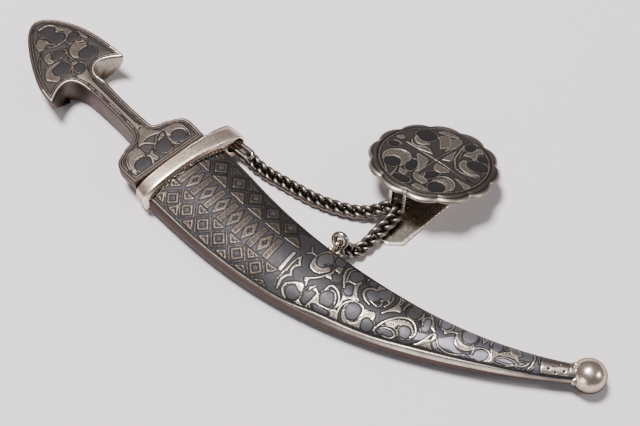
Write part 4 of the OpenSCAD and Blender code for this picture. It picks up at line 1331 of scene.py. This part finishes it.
def tarnish_group():
    """Where the silver has dulled: soft clouds of about 3 mm broken up by finer ones."""
    tree, given, out = group("Tarnish", [("Vector", "NodeSocketVector"), ("Amount", "NodeSocketFloat")],
                             [("Mask", "NodeSocketFloat"), ("Fine", "NodeSocketFloat")])
    plus, _, times = arithmetic(tree)
    clouds = noise(tree, given["Vector"], 0.33, 4.0, Roughness=0.6)
    fine = noise(tree, given["Vector"], 2.6, 3.0, Roughness=0.65)
    mixed = plus(times(clouds, 0.6), times(fine, 0.4))
    tree.links.new(times(between(tree, mixed, 0.38, 0.64), given["Amount"]), out["Mask"])
    tree.links.new(fine, out["Fine"])
    return tree


def scratch_group():
    """Fine wear scratches in two directions, as a height and a mask."""
    tree, given, out = group("Fine scratches", [("Vector", "NodeSocketVector")],
                             [("Height", "NodeSocketFloat"), ("Mask", "NodeSocketFloat")])
    lines = []
    for turn, stretch in ((0.5, (9, 0.5, 3)), (-0.9, (0.6, 10, 4))):
        inputs = {"Vector": given["Vector"], "Rotation": (0.2, 0.1, turn), "Scale": stretch}
        mapping = node(tree, "ShaderNodeMapping", inputs)
        lines.append(between(tree, noise(tree, mapping.outputs[0], 1.0, 2.0), 0.6, 0.72))
    total = maths(tree, "ADD", *lines, clamp=True)
    tree.links.new(maths(tree, "SUBTRACT", 1.0, total), out["Height"])
    tree.links.new(total, out["Mask"])
    return tree


def placed_group(tree, name, inputs):
    """A node group in a tree, built where it is asked for first."""
    build = {"Tarnish": tarnish_group, "Fine scratches": scratch_group}[name]
    return node(tree, "ShaderNodeGroup", inputs, node_tree=bpy.data.node_groups.get(name) or build()).outputs


def started_material(name):
    """A new material's node tree, its shader and its place in millimetres."""
    material = bpy.data.materials.new(name)
    material.use_nodes = True
    tree = material.node_tree
    tree.nodes.clear()
    shader = tree.nodes.new("ShaderNodeBsdfPrincipled")
    tree.links.new(shader.outputs[0], tree.nodes.new("ShaderNodeOutputMaterial").inputs["Surface"])
    place = node(tree, "ShaderNodeTexCoord").outputs["Object"]
    place = node(tree, "ShaderNodeMapping", {"Vector": place, "Scale": (1000, 1000, 1000)}).outputs[0]
    return material, tree, shader, place


def metal(name, bright, dark, amount, rough, uneven, grain=0.000006, low=None, edge=0.5):
    """Worn silver, dulled in clouds, with fine scratches; a second colour for oxide, painted shade or painted
    highlights.
    """
    found = bpy.data.materials.get(name)
    if found:
        return found
    material, tree, shader, place = started_material(name)
    plus, _, times = arithmetic(tree)
    tarnish = placed_group(tree, "Tarnish", {"Vector": place, "Amount": amount})
    scratch = placed_group(tree, "Fine scratches", {"Vector": place})
    colour = blend(tree, tarnish["Mask"], bright, dark)
    colour = blend(tree, times(scratch["Mask"], 0.25), colour, dark)
    if low:
        colour = blend(tree, attribute(tree, "rub"), low, colour)
    height = plus(times(scratch["Height"], 0.4), times(tarnish["Fine"], uneven * 6))
    fed(tree, shader, {
        "Base Color": colour, "Metallic": 1.0, "Specular Tint": (edge, edge * 0.94, edge * 0.9, 1),
        "Roughness": plus(times(tarnish["Mask"], 0.2), plus(times(tarnish["Fine"], 0.16), rough - 0.08)),
        "Normal": bump(tree, height, 0.6, grain)})
    return material


def niello(name, field, inlay):
    """Engraved silver: the cut attribute parts silver from dark niello, with a black line beside each edge."""
    found = bpy.data.materials.get(name)
    if found:
        return found
    tones = bpy.context.scene.brooch_finishes
    material, tree, shader, place = started_material(name)
    plus, minus, times = arithmetic(tree)
    tarnish = placed_group(tree, "Tarnish", {"Vector": place, "Amount": 1.0})
    scratch = placed_group(tree, "Fine scratches", {"Vector": place})
    cut, ground, filled, tone, sheen = (attribute(tree, layer) for layer in LAYERS)
    lay = attribute(tree, "lay", "Vector")

    # The engraved edge, unsteady as if cut by hand
    depth = plus(cut, times(minus(noise(tree, place, 3.5, 2.0), 0.5), 0.1))
    silver = between(tree, depth, -0.025, 0.03)
    outline = times(between(tree, depth, -0.24, -0.1), minus(1.0, silver))

    # The stippled ground: pits in rows
    cells = node(tree, "ShaderNodeTexVoronoi", {"Vector": lay, "Scale": 4.2, "Randomness": 0.8},
                 voronoi_dimensions="2D").outputs["Distance"]
    rows = node(tree, "ShaderNodeTexWave", {"Vector": lay, "Scale": 1.7, "Distortion": 1.2, "Detail": 1.0,
                                            "Detail Scale": 2.0}, bands_direction="Y").outputs["Fac"]
    pits = times(between(tree, cells, 0.42, 0.2), 0.65)
    pits = times(plus(pits, times(between(tree, rows, 0.45, 0.1), 0.5), clamp=True), ground)

    # Colours
    worn = times(tone, minus(1.0, times(tarnish["Mask"], 0.45)))
    bright = blend(tree, worn, tones.dull_silver, tones.silver)
    sunk = blend(tree, worn, [c * 0.2 for c in tones.ground], tones.ground)
    bright = blend(tree, pits, blend(tree, times(ground, 0.8), bright, sunk), PIT)
    # Painted sheen: niello made pale where a reflection of the light is painted
    dark = blend(tree, sheen, blend(tree, filled, field, inlay), PAINTED_SHEEN)
    dark = blend(tree, times(tarnish["Fine"], 0.35), dark, GRAIN)
    ring = times(times(filled, minus(1.0, filled)), 4.0, clamp=True)
    dark = blend(tree, times(maths(tree, "MAXIMUM", outline, ring), 0.85), dark, BLACK)

    # Roughness, from the inlay's to the silver's, more where it is pitted or dull
    dull = times(times(minus(1.0, tone), 0.14), silver)
    inlay_rough = minus(0.48, times(filled, 0.04))
    roughness = plus(inlay_rough, times(silver, minus(0.27, inlay_rough)))
    roughness = plus(plus(roughness, times(pits, 0.3)), plus(dull, times(tarnish["Mask"], 0.1)))
    height = plus(minus(times(scratch["Height"], 0.15), pits), times(tarnish["Fine"], 0.8))
    fed(tree, shader, {
        "Base Color": blend(tree, silver, dark, bright), "Metallic": between(tree, silver, 0.0, 1.0, 0.45, 1.0),
        "Roughness": roughness, "Normal": bump(tree, height, 0.7, 0.00002), "Specular Tint": (0.7, 0.665, 0.69, 1),
        "Specular IOR Level": 0.36})
    return material


def finish(kind):
    """The finish of a group of pieces."""
    tones = bpy.context.scene.brooch_finishes

    def tint(name, share=1):
        """A colour of the settings, made lighter or darker."""
        return tuple(c * share for c in getattr(tones, name))

    if kind == "scabbard":
        return niello("engraved scabbard silver", tint("niello", 0.66), tint("niello"))
    if kind == "face":
        return niello("engraved silver, tarnished", tint("field"), (0.014, 0.012, 0.013))
    dull = tint("dull_silver")
    # Name, colour, dulled colour, how much of it, roughness, unevenness, and what else differs
    *look, rest = {
        "polished": ("polished silver", tint("warm_silver", 1.05), dull, 0.3, 0.24, 0.35, {"edge": 0.1}),
        # Second colour: painted shade on the ball's lower half
        "ball": ("polished silver, darker below", tint("warm_silver", 1.12), dull, 0.3, 0.24, 0.35,
                 {"edge": 0.1, "low": (0.21, 0.175, 0.155)}),
        # Second colour: a painted highlight along the band's lower edge
        "band": ("polished silver with bright edges", tint("warm_silver", 1.38), dull, 0.12, 0.27, 0.12,
                 {"low": (1, 0.88, 0.74)}),
        # Second colour: a painted highlight along the sheet's edges
        "clip": ("worn sheet silver", tint("silver", 0.36), dull, 0.15, 0.25, 0.1,
                 {"grain": 0.000003, "low": (1, 0.93, 0.8)}),
        "chain": ("oxidised chain silver", tint("chain"), OXIDE, 0.5, 0.3, 0.3, {"low": (0.06, 0.05, 0.043)}),
        "ring": ("rubbed ring silver", tint("silver", 0.62), dull, 0.6, 0.2, 0.15, {}),
        "solder": ("golden solder", (0.5, 0.42, 0.31), (0.06, 0.046, 0.034), 0.7, 0.26, 0.3, {}),
        "wire": ("oxidised wire", tint("chain"), OXIDE, 0.75, 0.26, 0.5, {}),
        "steel": ("blade steel", tint("steel"), (0.2, 0.2, 0.21), 0.35, 0.22, 0.35, {}),
    }[kind]
    return metal(*look, **rest)


# Stage

def stage():
    """The pale surface, soft studio light and the photograph's camera."""
    settings = bpy.context.scene.brooch_stage
    floor = started("surface", bpy.ops.mesh.primitive_plane_add, size=3)
    material, tree, shader, place = started_material("pale surface")
    shades = ([c * share for c in settings.floor] for share in (0.97, 1.03))
    fed(tree, shader, {
        "Base Color": blend(tree, noise(tree, place, 0.02, 3.0), *shades), "Roughness": 0.85,
        "Specular IOR Level": 0.2, "Normal": bump(tree, noise(tree, place, 1.5, 2.0), 0.1, 0.00003)})
    floor.data.materials.append(material)

    for name, place, size, share, colour in LAMPS:
        light = bpy.data.lights.new(name, "AREA")
        light.shape, light.size, light.energy, light.color = "DISK", size, settings.key_power * share, colour
        lamp = bpy.data.objects.new(name, light)
        bpy.context.scene.collection.objects.link(lamp)
        lamp.location = Vector(place)
        lamp.rotation_euler = (Vector() - Vector(place)).to_track_quat("-Z", "Y").to_euler()
    world = bpy.data.worlds.new("soft studio")
    world.use_nodes = True
    background = world.node_tree.nodes["Background"].inputs
    background["Color"].default_value = (*settings.surround, 1)
    background["Strength"].default_value = settings.surround_strength
    bpy.context.scene.world = world

    lens = bpy.data.cameras.new("camera")
    lens.lens, lens.sensor_width, lens.clip_start = SENSOR * FOCAL_WIDTHS, SENSOR, 0.005
    camera = bpy.data.objects.new("camera", lens)
    bpy.context.scene.collection.objects.link(camera)
    forward, right = (CAMERA_TARGET - CAMERA_AT).normalized(), CAMERA_RIGHT.normalized()
    turn = Matrix((right, right.cross(forward), -forward)).transposed().to_4x4()
    camera.matrix_world = Matrix.Translation(CAMERA_AT * MM) @ turn
    bpy.context.scene.camera = camera


# Settings, steps and panel

def colour_setting(label, text, default):
    """A colour among the settings."""
    return bpy.props.FloatVectorProperty(name=label, description=text, subtype="COLOR", size=3, min=0, max=1,
                                         default=default)


class BroochSizes(bpy.types.PropertyGroup):
    """Sizes that the pieces are built from"""
    cut_depth: bpy.props.FloatProperty(
        name="Cut depth", description="Height between the silver and the niello's cut edge", default=0.00004, min=0,
        max=0.0001, precision=6, unit="LENGTH")
    link_pitch: bpy.props.FloatProperty(
        name="Link pitch", description="Distance from one curb link to the next", default=0.00139, min=0.001,
        max=0.0018, precision=6, unit="LENGTH")


class BroochFinishes(bpy.types.PropertyGroup):
    """Colours of the metals and of the niello"""
    silver: colour_setting("Silver", "Rubbed silver on the engraved faces", (0.72, 0.64, 0.55))
    warm_silver: colour_setting("Warm silver", "Polished silver of the band and ball", (0.64, 0.51, 0.42))
    dull_silver: colour_setting("Dull silver", "Tarnished plain silver", (0.072, 0.053, 0.046))
    ground: colour_setting("Ground", "Stippled silver between the lines", (0.29, 0.235, 0.19))
    niello: colour_setting("Niello", "The dark inlay", (0.045, 0.042, 0.046))
    field: colour_setting("Field", "Tarnished engraved silver round the inlay", (0.03, 0.024, 0.0215))
    chain: colour_setting("Chain", "Silver of the chains where it is rubbed", (0.27, 0.232, 0.203))
    steel: colour_setting("Steel", "The blade", (0.5, 0.51, 0.53))


class BroochStage(bpy.types.PropertyGroup):
    """The surface and the light"""
    floor: colour_setting("Surface", "The pale surface that the brooch lies on", (0.62, 0.585, 0.6))
    key_power: bpy.props.FloatProperty(name="Light", description="Power of the main soft light", default=11.05, min=0,
                                       unit="POWER")
    surround: colour_setting("Surround", "Light of the room", (0.9, 0.92, 1.0))
    surround_strength: bpy.props.FloatProperty(name="Surround strength", description="How bright the room is",
                                               default=0.25, min=0)


class BROOCH_OT_stage(bpy.types.Operator):
    """Adds the surface, the light and the camera"""
    bl_idname = "brooch.stage"
    bl_label = "Stage"

    def execute(self, context):
        stage()
        return {"FINISHED"}


class BROOCH_OT_scabbard(bpy.types.Operator):
    """Builds the scabbard: sheath, mouth band, ear post, eye and tip ball"""
    bl_idname = "brooch.scabbard"
    bl_label = "Scabbard"

    def execute(self, context):
        shown(sheath(), finish("scabbard"), ["scabbard"])
        shown(mouth_band(), finish("band"), ["scabbard"])
        shown(ear_post(), finish("polished"), ["scabbard"])
        shown(tip_ball(), finish("ball"), ["scabbard"])
        for piece in (crumbs(), eye()):
            shown(piece, finish("solder"), ["scabbard"])
        return {"FINISHED"}


class BROOCH_OT_dagger(bpy.types.Operator):
    """Builds the hilt and the blade"""
    bl_idname = "brooch.dagger"
    bl_label = "Dagger"

    def execute(self, context):
        shown(hilt(), finish("face"), ["hilt"], "dagger")
        shown(blade(), finish("steel"), ["blade"], "dagger")
        return {"FINISHED"}


class BROOCH_OT_wire(bpy.types.Operator):
    """Builds the long link, the jump ring and the two curb chains"""
    bl_idname = "brooch.wire"
    bl_label = "Links and chains"

    def execute(self, context):
        pitch = context.scene.brooch_sizes.link_pitch / MM
        shown(long_link(), finish("wire"), ["upper_link"])
        shown(open_ring(), finish("ring"), ["jump_ring"])
        chains = (("upper", UPPER_ROUTE, UPPER_ROLL, 1), ("lower", LOWER_ROUTE, LOWER_ROLL, 2))
        for side, route, roll, seed in chains:
            piece = chain(side + "_curb_chain", route, pitch, roll, seed)
            shown(piece, finish("chain"), [side + "_chain"])
        return {"FINISHED"}


class BROOCH_OT_rosette(bpy.types.Operator):
    """Builds the lobed rosette and the bail under it"""
    bl_idname = "brooch.rosette"
    bl_label = "Rosette"

    def execute(self, context):
        shown(rosette(), finish("face"), ["rosette"])
        shown(bail(), finish("clip"), ["rosette"])
        return {"FINISHED"}


class BROOCH_OT_clip(bpy.types.Operator):
    """Builds the spring clip"""
    bl_idname = "brooch.clip"
    bl_label = "Spring clip"

    def execute(self, context):
        shown(spring_clip(), finish("clip"), ["spring_clip"])
        return {"FINISHED"}


STEPS = (BROOCH_OT_stage, BROOCH_OT_scabbard, BROOCH_OT_dagger, BROOCH_OT_wire, BROOCH_OT_rosette, BROOCH_OT_clip)
SETTINGS = (("brooch_sizes", BroochSizes), ("brooch_finishes", BroochFinishes), ("brooch_stage", BroochStage))


class BROOCH_PT_panel(bpy.types.Panel):
    """The brooch's settings and steps"""
    bl_idname = "BROOCH_PT_panel"
    bl_label = "Niello silver brooch"
    bl_space_type = "VIEW_3D"
    bl_region_type = "UI"
    bl_category = "Brooch"

    def draw(self, context):
        for name, kind in SETTINGS:
            box = self.layout.box()
            for key in kind.__annotations__:
                box.prop(getattr(context.scene, name), key)
        for step in STEPS:
            self.layout.operator(step.bl_idname)


CLASSES = tuple(kind for _, kind in SETTINGS) + STEPS + (BROOCH_PT_panel,)


def register():
    """Adds the settings, steps and panel."""
    for item in CLASSES:
        bpy.utils.register_class(item)
    for name, kind in SETTINGS:
        setattr(bpy.types.Scene, name, bpy.props.PointerProperty(type=kind))


def unregister():
    """Takes the settings, steps and panel away."""
    for name, _ in SETTINGS:
        delattr(bpy.types.Scene, name)
    for item in reversed(CLASSES):
        bpy.utils.unregister_class(item)


def main():
    """Builds the whole scene."""
    register()
    for step in STEPS:
        getattr(bpy.ops.brooch, step.bl_idname.split(".")[1])()


if __name__ == "__main__":
    main()
